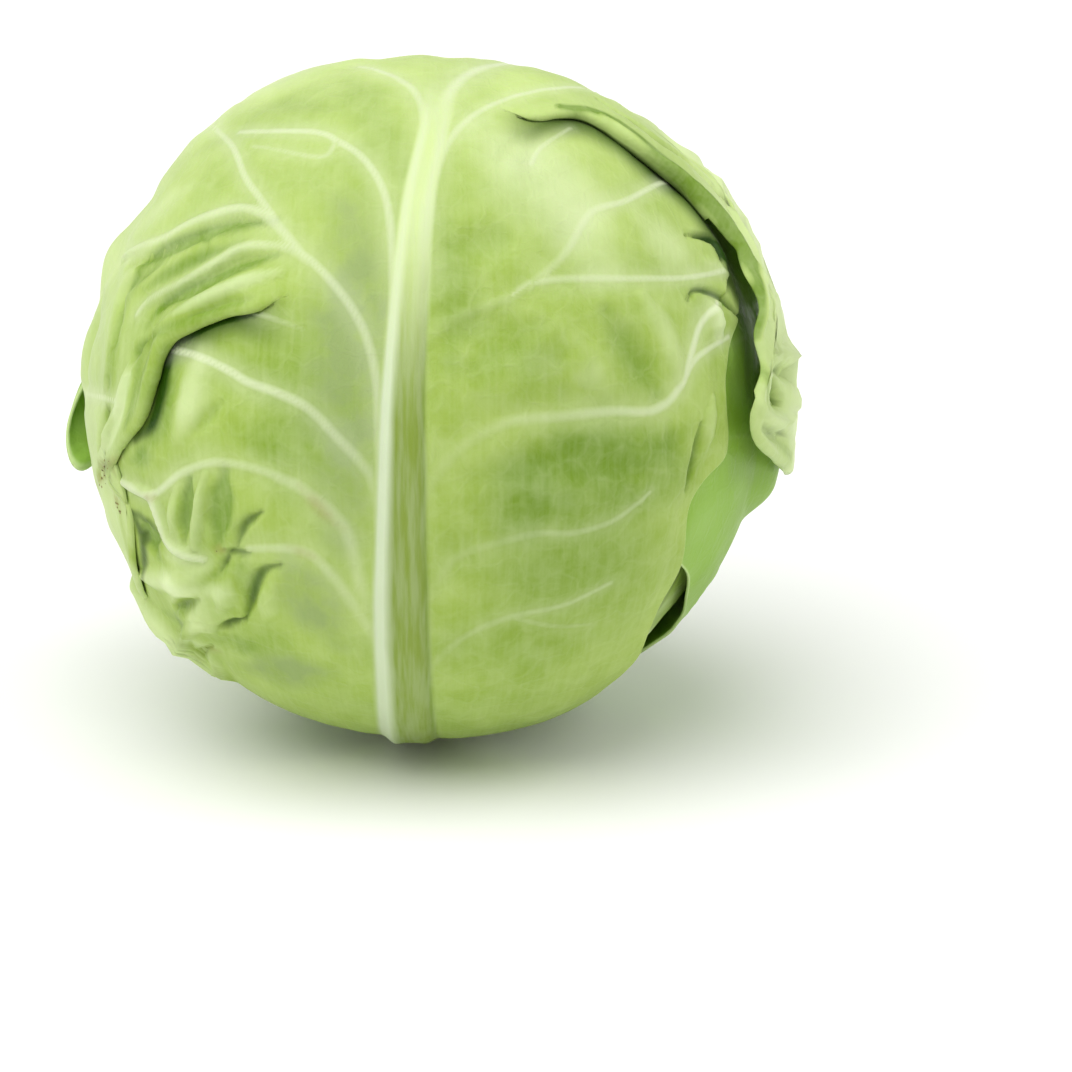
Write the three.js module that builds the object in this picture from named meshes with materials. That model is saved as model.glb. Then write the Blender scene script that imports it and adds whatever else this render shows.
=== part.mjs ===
// Cabbage head: packed heart, cut stalk and five wrapper leaves.
// Millimetres, +Z up, the leaf with the upright midrib faces -Y, the stalk stands on Z = 0.

import * as THREE from 'three';

// Head
const HEAD_CENTRE_Z = 89;
const HEAD_RADIUS = 90.3;
const LEAF_THICKNESS = 0.8;
const LEAF_PITCH = [0, 2.4, 4.5, 6.6, 9.1];
const HEART_DEPTH = 11.6;
const HEART_RINGS = 16;
const HEART_SECTORS = 26;
const DIMPLE_SHARE = 0.055;
const DIMPLE_SPREAD = 22;

// Stalk
const STALK_RADIUS = 17;
const STALK_BEVEL = 0.6;
const STALK_WAIST = 16;
const STALK_WAIST_Z = 5;
const STALK_SECTORS = 28;
const STALK_TOP_Z = 13.6;

// Each leaf is laid out on a chart: degrees across and degrees up from a point this far above the equator
const CHART_LATITUDE = 20;
const BASE_ROW = -98;
const TIP_ROW = 112;
const FULL_WIDTH = 97;
const WIDEST_BUNCHING = 1.5;

// Picture of the front: centre and radius of the head in its pixels
const PICTURE = { centreX: 430, centreY: 400, radius: 345 };

// Steps across one half of a leaf, from midrib to margin
const FINE_STEPS = [0, 0.035, 0.08, 0.13, 0.18, 0.22, 0.26, 0.31, 0.37, 0.43, 0.49, 0.55, 0.62, 0.69, 0.76,
  0.83, 0.9, 0.95, 1];
const MEDIUM_STEPS = [0, 0.05, 0.12, 0.22, 0.33, 0.44, 0.56, 0.68, 0.79, 0.88, 0.95, 1];
const COARSE_STEPS = [0, 0.06, 0.18, 0.34, 0.5, 0.68, 0.86, 1];

// Rows from petiole to tip
const LOWER_ROWS = [-98, -94, -90, -84, -77, -69, -61, -53, -45, -37, -29, -21, -13, -5, 3, 10, 16];
const MIDDLE_ROWS = [27, 33, 39, 45, 50, 54.5];
const UPPER_ROWS = [64, 69, 75, 82, 89, 96, 102, 107, 112];
const MEDIUM_ROWS = [-98, -93, -86, -77, -67, -56, -45, -33, -21, -9, 3, 15, 27, 38, 48, 58, 68, 78, 88, 97, 105,
  112];
const COARSE_ROWS = [-98, -92, -82, -70, -55, -40, -24, -8, 8, 24, 40, 56, 72, 87, 100, 112];

// How far each row sags from the midrib to the margin, front leaf and the leaves behind it
const FRONT_SAG = [[-98, -0.003], [-75, -0.003], [-50, -0.0006], [-20, 0.0026], [0, 0.0048], [21.5, 0.0070],
  [40, 0.0066], [58.8, 0.0058], [80, 0.0044], [100, 0.0024], [112, 0.001]];
const WRAP_SAG = [[-98, -0.003], [-75, -0.003], [-50, -0.0015], [-20, -0.0002], [0, 0.0008], [25, 0.0016],
  [50, 0.0020], [80, 0.0022], [100, 0.0015], [112, 0.001]];

// Half widths of the leaves by row, in degrees
const WRAP_WIDTH = [[-98, 16], [-92, 22], [-85, 34], [-75, 52], [-60, 72], [-40, 86], [-20, 92], [0, 95],
  [20, 97], [45, 97], [65, 91], [80, 80], [95, 61], [105, 40], [112, 15]];
const FRONT_LOWER_RIGHT = [[-98, 16], [-92, 20], [-85, 27], [-75, 38], [-60, 47], [-40, 51], [-20, 55], [0, 63],
  [20, 68], [58, 70]];
const FRONT_LOWER_LEFT = [[-98, 16], [-92, 20], [-85, 30], [-75, 50], [-60, 72], [-45, 79], [-20, 80], [21, 78]];
const FRONT_UPPER_LEFT = [[20, 90], [45, 92], [65, 89], [80, 80], [95, 61], [105, 40], [112, 15]];
const FRONT_UPPER_RIGHT = [[56, 78], [63, 86], [70, 91], [78, 82], [95, 61], [105, 40], [112, 15]];
const BACK_RIGHT = [[-98, 16], [-92, 22], [-85, 33], [-75, 48], [-60, 68], [-40, 88], [-20, 99], [0, 109],
  [14, 119], [26, 124], [40, 117], [55, 108], [66, 101], [80, 86], [95, 63], [105, 42], [112, 15]];
const EDGE_WAVE = 1.6;
const EDGE_WAVE_RATE = 0.16;

// Folded pleats of the front leaf: rim as [step across, picture x, picture y], lift of the rim by step
const BEND_RADIUS = 0.9;
const LOWER_DIP = 1.2;
const PLEAT_BAND = 2.5;
const PLEAT_STEPS = 10;
const RIM_STEP = 7;
const LEFT_PLEAT = {
  row: 21.5,
  start: 0.3,
  slit: 0.69,
  tuck: 6,
  blendRows: 30,
  liftRows: 12,
  waveFrom: 45,
  rim: [[0, 430, 268], [0.2, 330, 300], [0.31, 258, 313], [0.35, 236, 319], [0.39, 215, 330], [0.44, 195, 341],
    [0.475, 180, 352], [0.51, 170, 370], [0.55, 165, 390], [0.62, 150, 430], [0.69, 125, 455], [0.75, 116, 482],
    [0.82, 136, 512], [0.9, 140, 560], [1, 150, 612]],
  lift: [[0, 1.6], [0.31, 1.8], [0.43, 3.0], [0.55, 3.4], [0.62, 3.2], [0.72, 2.4], [0.8, 1.9], [0.9, 2.2], [1, 2.0]],
};
const RIGHT_PLEAT = {
  row: 58.8,
  start: 0.2,
  slit: 0.62,
  tuck: 6,
  blendRows: 28,
  liftRows: 42,
  waveFrom: 66,
  rim: [[0, 430, 118], [0.15, 500, 126], [0.22, 540, 122], [0.26, 556, 118], [0.31, 578, 118], [0.37, 602, 128],
    [0.43, 626, 146], [0.49, 655, 167], [0.55, 680, 187], [0.62, 708, 219], [0.68, 731, 250], [0.73, 746, 278],
    [0.78, 758, 308], [0.83, 756, 345], [0.88, 752, 382], [0.92, 742, 410], [0.96, 750, 455], [1, 778, 474]],
  lift: [[0, 1.6], [0.22, 1.8], [0.37, 3.0], [0.5, 3.4], [0.62, 4.2], [0.72, 5.4], [0.79, 7.4], [0.84, 5.2],
    [0.9, 7.6], [0.95, 5.6], [1, 6.6]],
};

// Midrib: height and half width by row
const RIB_HEIGHT = [[-98, 2.2], [-80, 2.5], [-60, 2.5], [-38, 2.3], [0, 1.8], [35, 1.2], [60, 0.7], [112, 0.2]];
const RIB_HALF_WIDTH = [[-98, 14], [-85, 13], [-60, 10], [-38, 8.4], [0, 6.6], [35, 5], [60, 3.6], [112, 2.4]];
const FRONT_MIDRIB = [[402, 610], [403, 500], [405, 400], [411, 300], [420, 200], [437, 120], [447, 62]];

// Side ribs of the front leaf as paths in the picture, with height and half width
const SIDE_RIBS = [
  { path: [[378, 640], [358, 610], [338, 582], [314, 557], [289, 550], [224, 550]], height: 0.7, half: 4.5 },
  { path: [[363, 592], [348, 532], [308, 493], [279, 478]], height: 0.6, half: 5 },
  { path: [[254, 470], [214, 465], [184, 475], [154, 495], [135, 485]], height: 0.8, half: 4.5 },
  { path: [[384, 560], [373, 478], [338, 438], [299, 403], [239, 373], [174, 351]], height: 0.8, half: 4.5 },
  { path: [[388, 500], [378, 368], [333, 289], [299, 254], [244, 179], [214, 130]], height: 1.0, half: 5 },
  { path: [[299, 254], [274, 221], [239, 214], [199, 221], [140, 249]], height: 0.8, half: 4.5 },
  { path: [[284, 259], [254, 249], [214, 269], [164, 299], [135, 318]], height: 0.8, half: 4.5 },
  { path: [[396, 400], [396, 279], [393, 229], [363, 159], [319, 134], [239, 132]], height: 0.8, half: 4.5 },
  { path: [[426, 130], [418, 100], [398, 80], [358, 65]], height: 0.5, half: 4 },
  { path: [[436, 200], [453, 139], [478, 115], [513, 100], [592, 97]], height: 0.6, half: 4 },
  { path: [[438, 329], [513, 299], [567, 254], [592, 214], [627, 202], [667, 184]], height: 0.8, half: 4.5 },
  { path: [[513, 299], [538, 284], [587, 281], [687, 279], [722, 274]], height: 0.7, half: 4.5 },
  { path: [[436, 480], [478, 438], [513, 423], [612, 413], [657, 411], [702, 353], [722, 319]], height: 0.9, half: 4.5 },
  { path: [[453, 562], [488, 547], [538, 535], [577, 537]], height: 0.4, half: 4 },
];

// Swells and creases of the front leaf, paths in the picture
const FRONT_RELIEF = [
  { path: [[150, 498], [166, 533], [189, 552], [205, 559]], height: 1.6, half: 9 },
  { path: [[195, 490], [193, 560]], height: 1.0, half: 9 },
  { path: [[228, 470], [216, 545]], height: -0.9, half: 8 },
  { path: [[262, 515], [241, 535], [240, 550]], height: -0.9, half: 8 },
  { path: [[277, 567], [258, 590], [249, 621]], height: -1.0, half: 9 },
  { path: [[232, 590], [214, 620], [176, 648]], height: 2.6, half: 12 },
  { path: [[205, 645], [215, 692]], height: 2.8, half: 13 },
  { path: [[165, 590], [160, 640]], height: 2.4, half: 12 },
  { path: [[480, 310], [520, 285]], height: -0.9, half: 12 },
  { path: [[600, 340], [640, 395]], height: -1.0, half: 13 },
  { path: [[560, 460], [640, 470]], height: -0.6, half: 15 },
  { path: [[520, 180], [560, 220]], height: -0.7, half: 14 },
  { path: [[655, 325], [680, 390]], height: 1.0, half: 9 },
  { path: [[700, 250], [735, 275], [742, 340]], height: 0.9, half: 9 },
  { path: [[215, 235], [150, 275]], height: -0.8, half: 9 },
  { path: [[240, 285], [180, 325]], height: 1.0, half: 9 },
  { path: [[320, 220], [350, 260]], height: -0.8, half: 12 },
];

// Bulge of the second leaf under the loose flap, path in chart degrees of the front leaf
const FLAP_BULGES = [
  { chart: [[88, 32], [92, 8]], height: 3.4, half: 18 },
  { chart: [[92, 4], [92, -22]], height: 6, half: 22 },
];

// Turned-up margin tip of the leaf behind, seen at the left of the head
const TIP_FLARE = { row: 27, spread: 12, start: 0.78, lift: 12 };

// Waved margins
const WAVE_LIFT = 2.6;
const WAVE_PITCH = 17;
const WAVE_START = 0.84;

const DEG = Math.PI / 180;
const MM_PER_DEG = HEAD_RADIUS * DEG;

// Helpers

function clamp01(t) {
  return Math.min(1, Math.max(0, t));
}

function smooth(t) {
  const c = clamp01(t);
  return c * c * (3 - 2 * c);
}

function mix(a, b, t) {
  return a + (b - a) * t;
}

function mixPoint(p, q, t) {
  return p.map((value, i) => mix(value, q[i], t));
}

// Smooth curve through [position, value] pairs, level beyond both ends
function curve(pairs, at) {
  const last = pairs.length - 1;
  if (at <= pairs[0][0]) return pairs[0][1];
  if (at >= pairs[last][0]) return pairs[last][1];
  let i = 0;
  while (pairs[i + 1][0] < at) i += 1;
  const slope = (a, b) => (pairs[b][1] - pairs[a][1]) / (pairs[b][0] - pairs[a][0]);
  const span = pairs[i + 1][0] - pairs[i][0];
  const t = (at - pairs[i][0]) / span;
  const startSlope = slope(Math.max(i - 1, 0), i + 1) * span;
  const endSlope = slope(i, Math.min(i + 2, last)) * span;
  const t2 = t * t;
  const t3 = t2 * t;
  return pairs[i][1] * (2 * t3 - 3 * t2 + 1) + startSlope * (t3 - 2 * t2 + t)
    + pairs[i + 1][1] * (3 * t2 - 2 * t3) + endSlope * (t3 - t2);
}

// Chart degrees of a point in the picture, for a surface standing proud by some millimetres
function chartFromPicture(px, py, proud = 0) {
  const radius = PICTURE.radius * (1 + proud / HEAD_RADIUS);
  const across = (px - PICTURE.centreX) / radius;
  const up = (PICTURE.centreY - py) / radius;
  const reach = Math.hypot(across, up);
  const scale = reach > 0 ? Math.asin(Math.min(reach, 1)) / DEG / reach : 0;
  return [across * scale, up * scale];
}

// Direction from the head centre for chart degrees of a leaf at some azimuth
function direction([x, y], azimuth) {
  const reach = Math.hypot(x, y) || 1e-9;
  const sinReach = Math.sin(reach * DEG);
  const tilt = CHART_LATITUDE * DEG;
  const east = sinReach * x / reach;
  const north = sinReach * y / reach;
  const out = Math.cos(reach * DEG);
  const dir = new THREE.Vector3(
    east,
    -out * Math.cos(tilt) + north * Math.sin(tilt),
    out * Math.sin(tilt) + north * Math.cos(tilt),
  );
  return dir.applyAxisAngle(new THREE.Vector3(0, 0, 1), azimuth * DEG);
}

// Chart degrees of a direction on the chart of a leaf at some azimuth
function chartOf(dir, azimuth) {
  const local = dir.clone().applyAxisAngle(new THREE.Vector3(0, 0, 1), -azimuth * DEG);
  const tilt = CHART_LATITUDE * DEG;
  const out = -local.y * Math.cos(tilt) + local.z * Math.sin(tilt);
  const north = local.y * Math.sin(tilt) + local.z * Math.cos(tilt);
  const side = Math.hypot(local.x, north) || 1e-9;
  const reach = Math.acos(Math.min(1, Math.max(-1, out))) / DEG;
  return [reach * local.x / side, reach * north / side];
}

// Head radius along a direction: round, drawn in around the stalk
function shellRadius(dir, depth) {
  const fromStalk = Math.acos(Math.min(1, Math.max(-1, -dir.z))) / DEG;
  const dimple = DIMPLE_SHARE * Math.exp(-((fromStalk / DIMPLE_SPREAD) ** 2));
  return (HEAD_RADIUS - depth) * (1 - dimple);
}

// Height of a raised or sunk stroke at a chart point
function strokeHeight([x, y], stroke) {
  let nearest = Infinity;
  for (let i = 0; i + 1 < stroke.chart.length; i += 1) {
    const [ax, ay] = stroke.chart[i];
    const [bx, by] = stroke.chart[i + 1];
    const length2 = (bx - ax) ** 2 + (by - ay) ** 2;
    const t = clamp01(((x - ax) * (bx - ax) + (y - ay) * (by - ay)) / length2);
    nearest = Math.min(nearest, Math.hypot(x - mix(ax, bx, t), y - mix(ay, by, t)));
  }
  const share = clamp01(nearest * MM_PER_DEG / stroke.half);
  return stroke.height * (1 - share * share) ** 2;
}

function chartStrokes(strokes) {
  return strokes.map((stroke) => ({
    height: stroke.height,
    half: stroke.half,
    chart: stroke.path.map(([px, py]) => chartFromPicture(px, py)),
  }));
}

const sideRibs = chartStrokes(SIDE_RIBS);
const frontRelief = chartStrokes(FRONT_RELIEF);
const frontMidrib = FRONT_MIDRIB.map(([px, py]) => chartFromPicture(px, py)).map(([x, y]) => [y, x]);

// Plain leaf layout: the chart point of a step across and a row
function layout(leaf, width, step, row, side) {
  const wave = EDGE_WAVE * Math.sin(row * EDGE_WAVE_RATE + leaf.azimuth) * smooth((step - 0.6) / 0.4) * smooth((row + 80) / 25);
  const half = curve(width, row);
  const power = Math.min(FULL_WIDTH / half, WIDEST_BUNCHING);
  const x = half * (1 - (1 - step) ** Math.max(power, 1)) + wave;
  return [side * x, row - curve(leaf.sag, row) * x * x];
}

// How far a direction lies outside the outline of a leaf above, 0 covered to 1 open
function openness(dir, covers) {
  let open = 1;
  for (const leaf of covers) {
    const [x, y] = chartOf(dir, leaf.azimuth);
    let row = y;
    for (let i = 0; i < 4; i += 1) row = y + curve(leaf.sag, row) * x * x;
    const width = x < 0 ? leaf.coverLeft : leaf.coverRight;
    const beyond = Math.max(Math.abs(x) - curve(width, row), BASE_ROW - row, row - TIP_ROW);
    open = Math.min(open, smooth((beyond - 3) / 8));
  }
  return open;
}

// Pleats

function rimPoint(pleat, step, side) {
  const xs = [];
  const ys = [];
  for (const [at, px, py] of pleat.rim) {
    const [x, y] = chartFromPicture(px, py, curve(pleat.lift, at));
    xs.push([at, side * x]);
    ys.push([at, y]);
  }
  return [curve(xs, step), curve(ys, step)];
}

// Outward way across the rim, from the lower lobe to the upper one
function rimNormal(pleat, step, side) {
  const [ax, ay] = rimPoint(pleat, Math.max(step - 0.02, 0), side);
  const [bx, by] = rimPoint(pleat, Math.min(step + 0.02, 1), side);
  const length = Math.hypot(bx - ax, by - ay);
  return [-(by - ay) / length, (bx - ax) / length];
}

// Section through the folded pleat: distance past the rim and height, in ten steps
function pleatSection(pleat, step, index) {
  const lift = curve(pleat.lift, step);
  const low = BEND_RADIUS;
  const roll = Math.min(Math.max((lift + LOWER_DIP - 2 * low) / 2, BEND_RADIUS), 1.6);
  const top = step > pleat.slit ? lift : Math.min(lift, 2 * low + 2 * roll - LOWER_DIP);
  const deep = pleat.tuck - low;
  const section = [
    [deep, 0], [deep + 0.75 * low, 0.35 * low], [pleat.tuck, low], [deep + 0.75 * low, 1.65 * low],
    [deep, 2 * low], [roll, 2 * low], [0.25 * roll, 2 * low + 0.35 * roll], [0, 2 * low + roll],
    [0.25 * roll, 2 * low + 1.65 * roll], [roll, 2 * low + 2 * roll],
  ];
  const [past, height] = section[index];
  const settle = top - (2 * low + 2 * roll - LOWER_DIP);
  return [past, height - LOWER_DIP + (index >= RIM_STEP ? settle : 0)];
}

// Chart point and height of a pleat row
function pleatPoint(leaf, pleat, step, index, side) {
  const share = index / (PLEAT_STEPS - 1);
  const before = layout(leaf, leaf.lower[side], step, pleat.row - PLEAT_BAND, 1);
  const after = layout(leaf, leaf.upper[side], step, pleat.row + PLEAT_BAND, 1);
  const flat = mixPoint(before, after, share);
  const rim = rimPoint(pleat, step, side);
  const normal = rimNormal(pleat, step, side);
  const [past, height] = pleatSection(pleat, step, index);
  const folded = [rim[0] + normal[0] * past / MM_PER_DEG, rim[1] + normal[1] * past / MM_PER_DEG];
  const strength = smooth((step - pleat.start + 0.07) / 0.13);
  const free = index === 0 ? smooth((step - pleat.slit) / 0.25) : 0;
  const at = mixPoint(mixPoint(flat, folded, strength), before, free);
  return { at: [side * at[0], at[1]], height: height * strength };
}

// Rows of the front leaf: plain rows and the two bands of pleat rows
function pleatRows(pleat) {
  return Array.from({ length: PLEAT_STEPS }, (_, index) => ({
    row: pleat.row + PLEAT_BAND * (2 * index / (PLEAT_STEPS - 1) - 1),
    pleat,
    index,
  }));
}

function plainRows(rows) {
  return rows.map((row) => ({ row }));
}

// Lower lobe sinks where the flap lies over it
function lowerDip(pleat, step, row) {
  const strength = smooth((step - pleat.start + 0.07) / 0.13);
  const nearRim = smooth((row - pleat.row + 15) / 13);
  const underFlap = smooth((step - 0.72) / 0.16) * smooth((row + 52) / 14);
  return -LOWER_DIP * Math.max(strength * nearRim, underFlap);
}

// Chart point and height of the front leaf before ribs
function frontPoint(leaf, line, step, side) {
  const pleat = leaf.pleats[side];
  if (line.pleat === pleat) return pleatPoint(leaf, pleat, step, line.index, side);
  const above = line.row > pleat.row;
  const edgeRow = pleat.row + (above ? PLEAT_BAND : -PLEAT_BAND);
  const width = above ? leaf.upper[side] : leaf.lower[side];
  const plain = layout(leaf, width, step, line.row, side);
  const edge = layout(leaf, width, step, edgeRow, side);
  const anchor = pleatPoint(leaf, pleat, step, above ? PLEAT_STEPS - 1 : 0, side);
  const away = Math.abs(line.row - edgeRow);
  const pull = 1 - smooth(away / pleat.blendRows);
  const at = [plain[0] + (anchor.at[0] - edge[0]) * pull, plain[1] + (anchor.at[1] - edge[1]) * pull];
  const height = above ? anchor.height * (1 - smooth(away / pleat.liftRows)) : lowerDip(pleat, step, line.row);
  return { at, height };
}

function frontRib(at, line) {
  const centre = curve(frontMidrib, at[1]);
  const share = clamp01(Math.abs(at[0] - centre) * MM_PER_DEG / curve(RIB_HALF_WIDTH, line.row));
  const midrib = curve(RIB_HEIGHT, line.row) * (1 - share ** 4) ** 2;
  const side = sideRibs.reduce((sum, rib) => Math.max(sum, strokeHeight(at, rib)), 0);
  return Math.max(midrib, side);
}

function reliefOf(at) {
  return frontRelief.reduce((sum, stroke) => sum + strokeHeight(at, stroke), 0);
}

// Outer margin waves of a leaf
function waveOf(step, row, phase) {
  const wave = 0.5 + 0.5 * Math.sin(row / WAVE_PITCH * 2 * Math.PI + phase);
  return WAVE_LIFT * wave * smooth((step - WAVE_START) / (1 - WAVE_START)) * smooth((row + 70) / 20);
}

// Surface points of the leaves: middle of the blade, with the extra thickness of the ribs outside

function frontSurface(leaf, line, step, side) {
  const { at, height } = frontPoint(leaf, line, step, side);
  const folded = line.pleat === leaf.pleats[side];
  const margin = waveOf(step, line.row, 0.8 + side) * smooth((line.row - leaf.pleats[side].waveFrom) / 18);
  const dir = direction(at, leaf.azimuth);
  const relief = folded ? 0 : reliefOf(at);
  const radius = shellRadius(dir, leaf.depth) + height + relief + margin;
  return { point: dir.multiplyScalar(radius), rib: folded ? 0.2 : frontRib(at, line) };
}

function bulgeUnderFlap(dir) {
  const at = chartOf(dir, frontLeaf.azimuth);
  return FLAP_BULGES.reduce((highest, bulge) => Math.max(highest, strokeHeight(at, bulge)), 0);
}

function wrapSurface(leaf, line, step, side) {
  const at = layout(leaf, leaf.upper[side], step, line.row, side);
  const dir = direction(at, leaf.azimuth);
  const open = openness(dir, leaf.covers);
  const flare = side > 0 && leaf.flare
    ? TIP_FLARE.lift * Math.exp(-(((line.row - TIP_FLARE.row) / TIP_FLARE.spread) ** 2))
      * smooth((step - TIP_FLARE.start) / (1 - TIP_FLARE.start))
    : 0;
  const share = clamp01(Math.abs(at[0]) * MM_PER_DEG / curve(RIB_HALF_WIDTH, line.row));
  const rib = curve(RIB_HEIGHT, line.row) * (1 - share ** 4) ** 2 * (0.15 + 0.85 * open);
  const lift = Math.max(flare, waveOf(step, line.row, leaf.azimuth)) * open;
  const bulge = leaf.bulges ? bulgeUnderFlap(dir) : 0;
  return { point: dir.multiplyScalar(shellRadius(dir, leaf.depth) + lift + bulge), rib };
}

// Closed blade from a grid of surface points: two faces alike and a band round every free edge
function bladeGeometry(grid, isOpen) {
  const rows = grid.length;
  const columns = grid[0].length;
  const quads = [];
  for (let r = 0; r + 1 < rows; r += 1) {
    for (let c = 0; c + 1 < columns; c += 1) if (!isOpen(r, c)) quads.push([r, c]);
  }
  const normals = gridNormals(grid, quads);
  const positions = [];
  const used = new Map();
  const vertex = (r, c) => {
    const key = r * columns + c;
    if (!used.has(key)) {
      used.set(key, used.size);
      const { point, rib } = grid[r][c];
      const normal = normals[r][c].clone().normalize();
      const outer = point.clone().addScaledVector(normal, LEAF_THICKNESS / 2 + rib);
      const inner = point.clone().addScaledVector(normal, -LEAF_THICKNESS / 2);
      positions.push(outer.x, outer.y, outer.z + HEAD_CENTRE_Z, inner.x, inner.y, inner.z + HEAD_CENTRE_Z);
    }
    return used.get(key) * 2;
  };
  const faces = [];
  const edges = new Map();
  const addEdge = (a, b) => {
    const twin = `${b},${a}`;
    if (edges.has(twin)) edges.delete(twin);
    else edges.set(`${a},${b}`, [a, b]);
  };
  for (const [r, c] of quads) {
    const corners = [vertex(r, c), vertex(r, c + 1), vertex(r + 1, c + 1), vertex(r + 1, c)];
    const first = splitAlongShort(grid, r, c) ? 0 : 1;
    const [p, q, s, t] = [0, 1, 2, 3].map((k) => corners[(k + first) % 4]);
    faces.push([p, q, s], [p, s, t], [q + 1, p + 1, s + 1], [s + 1, p + 1, t + 1]);
    corners.forEach((corner, k) => addEdge(corner, corners[(k + 1) % 4]));
  }
  for (const [a, b] of edges.values()) faces.push([b, a, a + 1], [b, a + 1, b + 1]);
  const geometry = new THREE.BufferGeometry();
  geometry.setAttribute('position', new THREE.Float32BufferAttribute(positions, 3));
  geometry.setIndex(faces.flat());
  return geometry;
}

function splitAlongShort(grid, r, c) {
  const one = grid[r][c].point.distanceTo(grid[r + 1][c + 1].point);
  const two = grid[r][c + 1].point.distanceTo(grid[r + 1][c].point);
  return one < two;
}

function gridNormals(grid, quads) {
  const normals = grid.map((line) => line.map(() => new THREE.Vector3()));
  for (const [r, c] of quads) {
    const a = grid[r][c].point;
    const b = grid[r][c + 1].point;
    const d = grid[r + 1][c + 1].point;
    const e = grid[r + 1][c].point;
    const normal = d.clone().sub(a).cross(e.clone().sub(b)).normalize();
    normals[r][c].add(normal);
    normals[r][c + 1].add(normal);
    normals[r + 1][c + 1].add(normal);
    normals[r + 1][c].add(normal);
  }
  return normals;
}

// Grid of a leaf: left margin to right margin along each row
function leafGrid(leaf, lines, steps, surface) {
  const across = [...steps.slice(1).reverse().map((s) => [-1, s]), ...steps.map((s) => [1, s])];
  return lines.map((line) => across.map(([side, step]) => surface(leaf, line, step, side)));
}

// Slits: the folded bands are cut free near both margins
function frontSlit(lines, steps) {
  const middle = steps.length - 1;
  return (r, c) => {
    const side = c < middle ? -1 : 1;
    const pleat = side < 0 ? LEFT_PLEAT : RIGHT_PLEAT;
    const line = lines[r];
    if (line.pleat !== pleat || line.index >= RIM_STEP) return false;
    const inner = side < 0 ? middle - c - 1 : c - middle;
    return steps[inner] >= pleat.slit - 1e-6;
  };
}

// Leaves

const frontLeaf = {
  azimuth: 0,
  depth: LEAF_PITCH[0],
  sag: FRONT_SAG,
  lower: { [-1]: FRONT_LOWER_LEFT, 1: FRONT_LOWER_RIGHT },
  upper: { [-1]: FRONT_UPPER_LEFT, 1: FRONT_UPPER_RIGHT },
  pleats: { [-1]: LEFT_PLEAT, 1: RIGHT_PLEAT },
  coverLeft: WRAP_WIDTH,
  coverRight: WRAP_WIDTH,
};

function wrapLeaf(number, azimuth, right, covers, flare = false) {
  return {
    azimuth,
    depth: LEAF_PITCH[number - 1],
    sag: WRAP_SAG,
    upper: { [-1]: WRAP_WIDTH, 1: right },
    coverLeft: WRAP_WIDTH,
    coverRight: right,
    covers,
    flare,
    bulges: flare,
  };
}

const leafTwo = wrapLeaf(2, 137.5, BACK_RIGHT, [frontLeaf], true);
const leafThree = wrapLeaf(3, 275, WRAP_WIDTH, [frontLeaf, leafTwo]);
const leafFour = wrapLeaf(4, 52.5, WRAP_WIDTH, [frontLeaf, leafTwo, leafThree]);
const leafFive = wrapLeaf(5, 190, WRAP_WIDTH, [frontLeaf, leafTwo, leafThree, leafFour]);

function frontBlade() {
  const lines = [
    ...plainRows(LOWER_ROWS), ...pleatRows(LEFT_PLEAT), ...plainRows(MIDDLE_ROWS), ...pleatRows(RIGHT_PLEAT),
    ...plainRows(UPPER_ROWS),
  ];
  const grid = leafGrid(frontLeaf, lines, FINE_STEPS, frontSurface);
  return bladeGeometry(grid, frontSlit(lines, FINE_STEPS));
}

function wrapBlade(leaf, rows, steps) {
  const grid = leafGrid(leaf, plainRows(rows), steps, wrapSurface);
  return bladeGeometry(grid, () => false);
}

// Turned solid about the upright axis from [radius, height] points, bottom to top
function turned(outline, sectors) {
  const points = outline.map(([radius, z]) => new THREE.Vector2(radius, z));
  return new THREE.LatheGeometry(points, sectors).rotateX(Math.PI / 2);
}

// Packed heart: a ball that follows the dimple round the stalk
function heartGeometry() {
  const outline = Array.from({ length: HEART_RINGS + 1 }, (_, i) => {
    const polar = Math.PI * i / HEART_RINGS;
    const dir = new THREE.Vector3(Math.sin(polar), 0, -Math.cos(polar));
    const radius = shellRadius(dir, HEART_DEPTH);
    const onAxis = i === 0 || i === HEART_RINGS;
    return [onAxis ? 0 : radius * dir.x, HEAD_CENTRE_Z + radius * dir.z];
  });
  return turned(outline, HEART_SECTORS);
}

// Cut stalk: a short waisted stub with a flat cut face
function stalkGeometry() {
  return turned([
    [0, 0], [STALK_RADIUS - STALK_BEVEL, 0], [STALK_RADIUS, STALK_BEVEL], [STALK_WAIST, STALK_WAIST_Z],
    [STALK_WAIST, STALK_TOP_Z], [0, STALK_TOP_Z],
  ], STALK_SECTORS);
}

// Assembly

const group = new THREE.Group();
group.name = 'cabbage_head';

function addPiece(name, geometry, color) {
  geometry.computeVertexNormals();
  const material = new THREE.MeshStandardMaterial({ color, roughness: 0.5, metalness: 0, name });
  const mesh = new THREE.Mesh(geometry, material);
  mesh.name = name;
  group.add(mesh);
}

addPiece('leaf_1', frontBlade(), '#a9c877');
addPiece('leaf_2', wrapBlade(leafTwo, MEDIUM_ROWS, MEDIUM_STEPS), '#9fc46a');
addPiece('leaf_3', wrapBlade(leafThree, MEDIUM_ROWS, MEDIUM_STEPS), '#b0cf83');
addPiece('leaf_4', wrapBlade(leafFour, COARSE_ROWS, COARSE_STEPS), '#b9d592');
addPiece('leaf_5', wrapBlade(leafFive, COARSE_ROWS, COARSE_STEPS), '#c4dba4');
addPiece('heart', heartGeometry(), '#dbe6c0');
addPiece('stalk', stalkGeometry(), '#e6e4c8');

export default group;
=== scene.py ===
# Cabbage head: waxy wrapper leaves with ribs, veins, pleats and creases, packed heart, cut stalk.
# Metres in the scene, millimetres and degrees in the leaf layout.

import math
from collections import namedtuple

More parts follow.
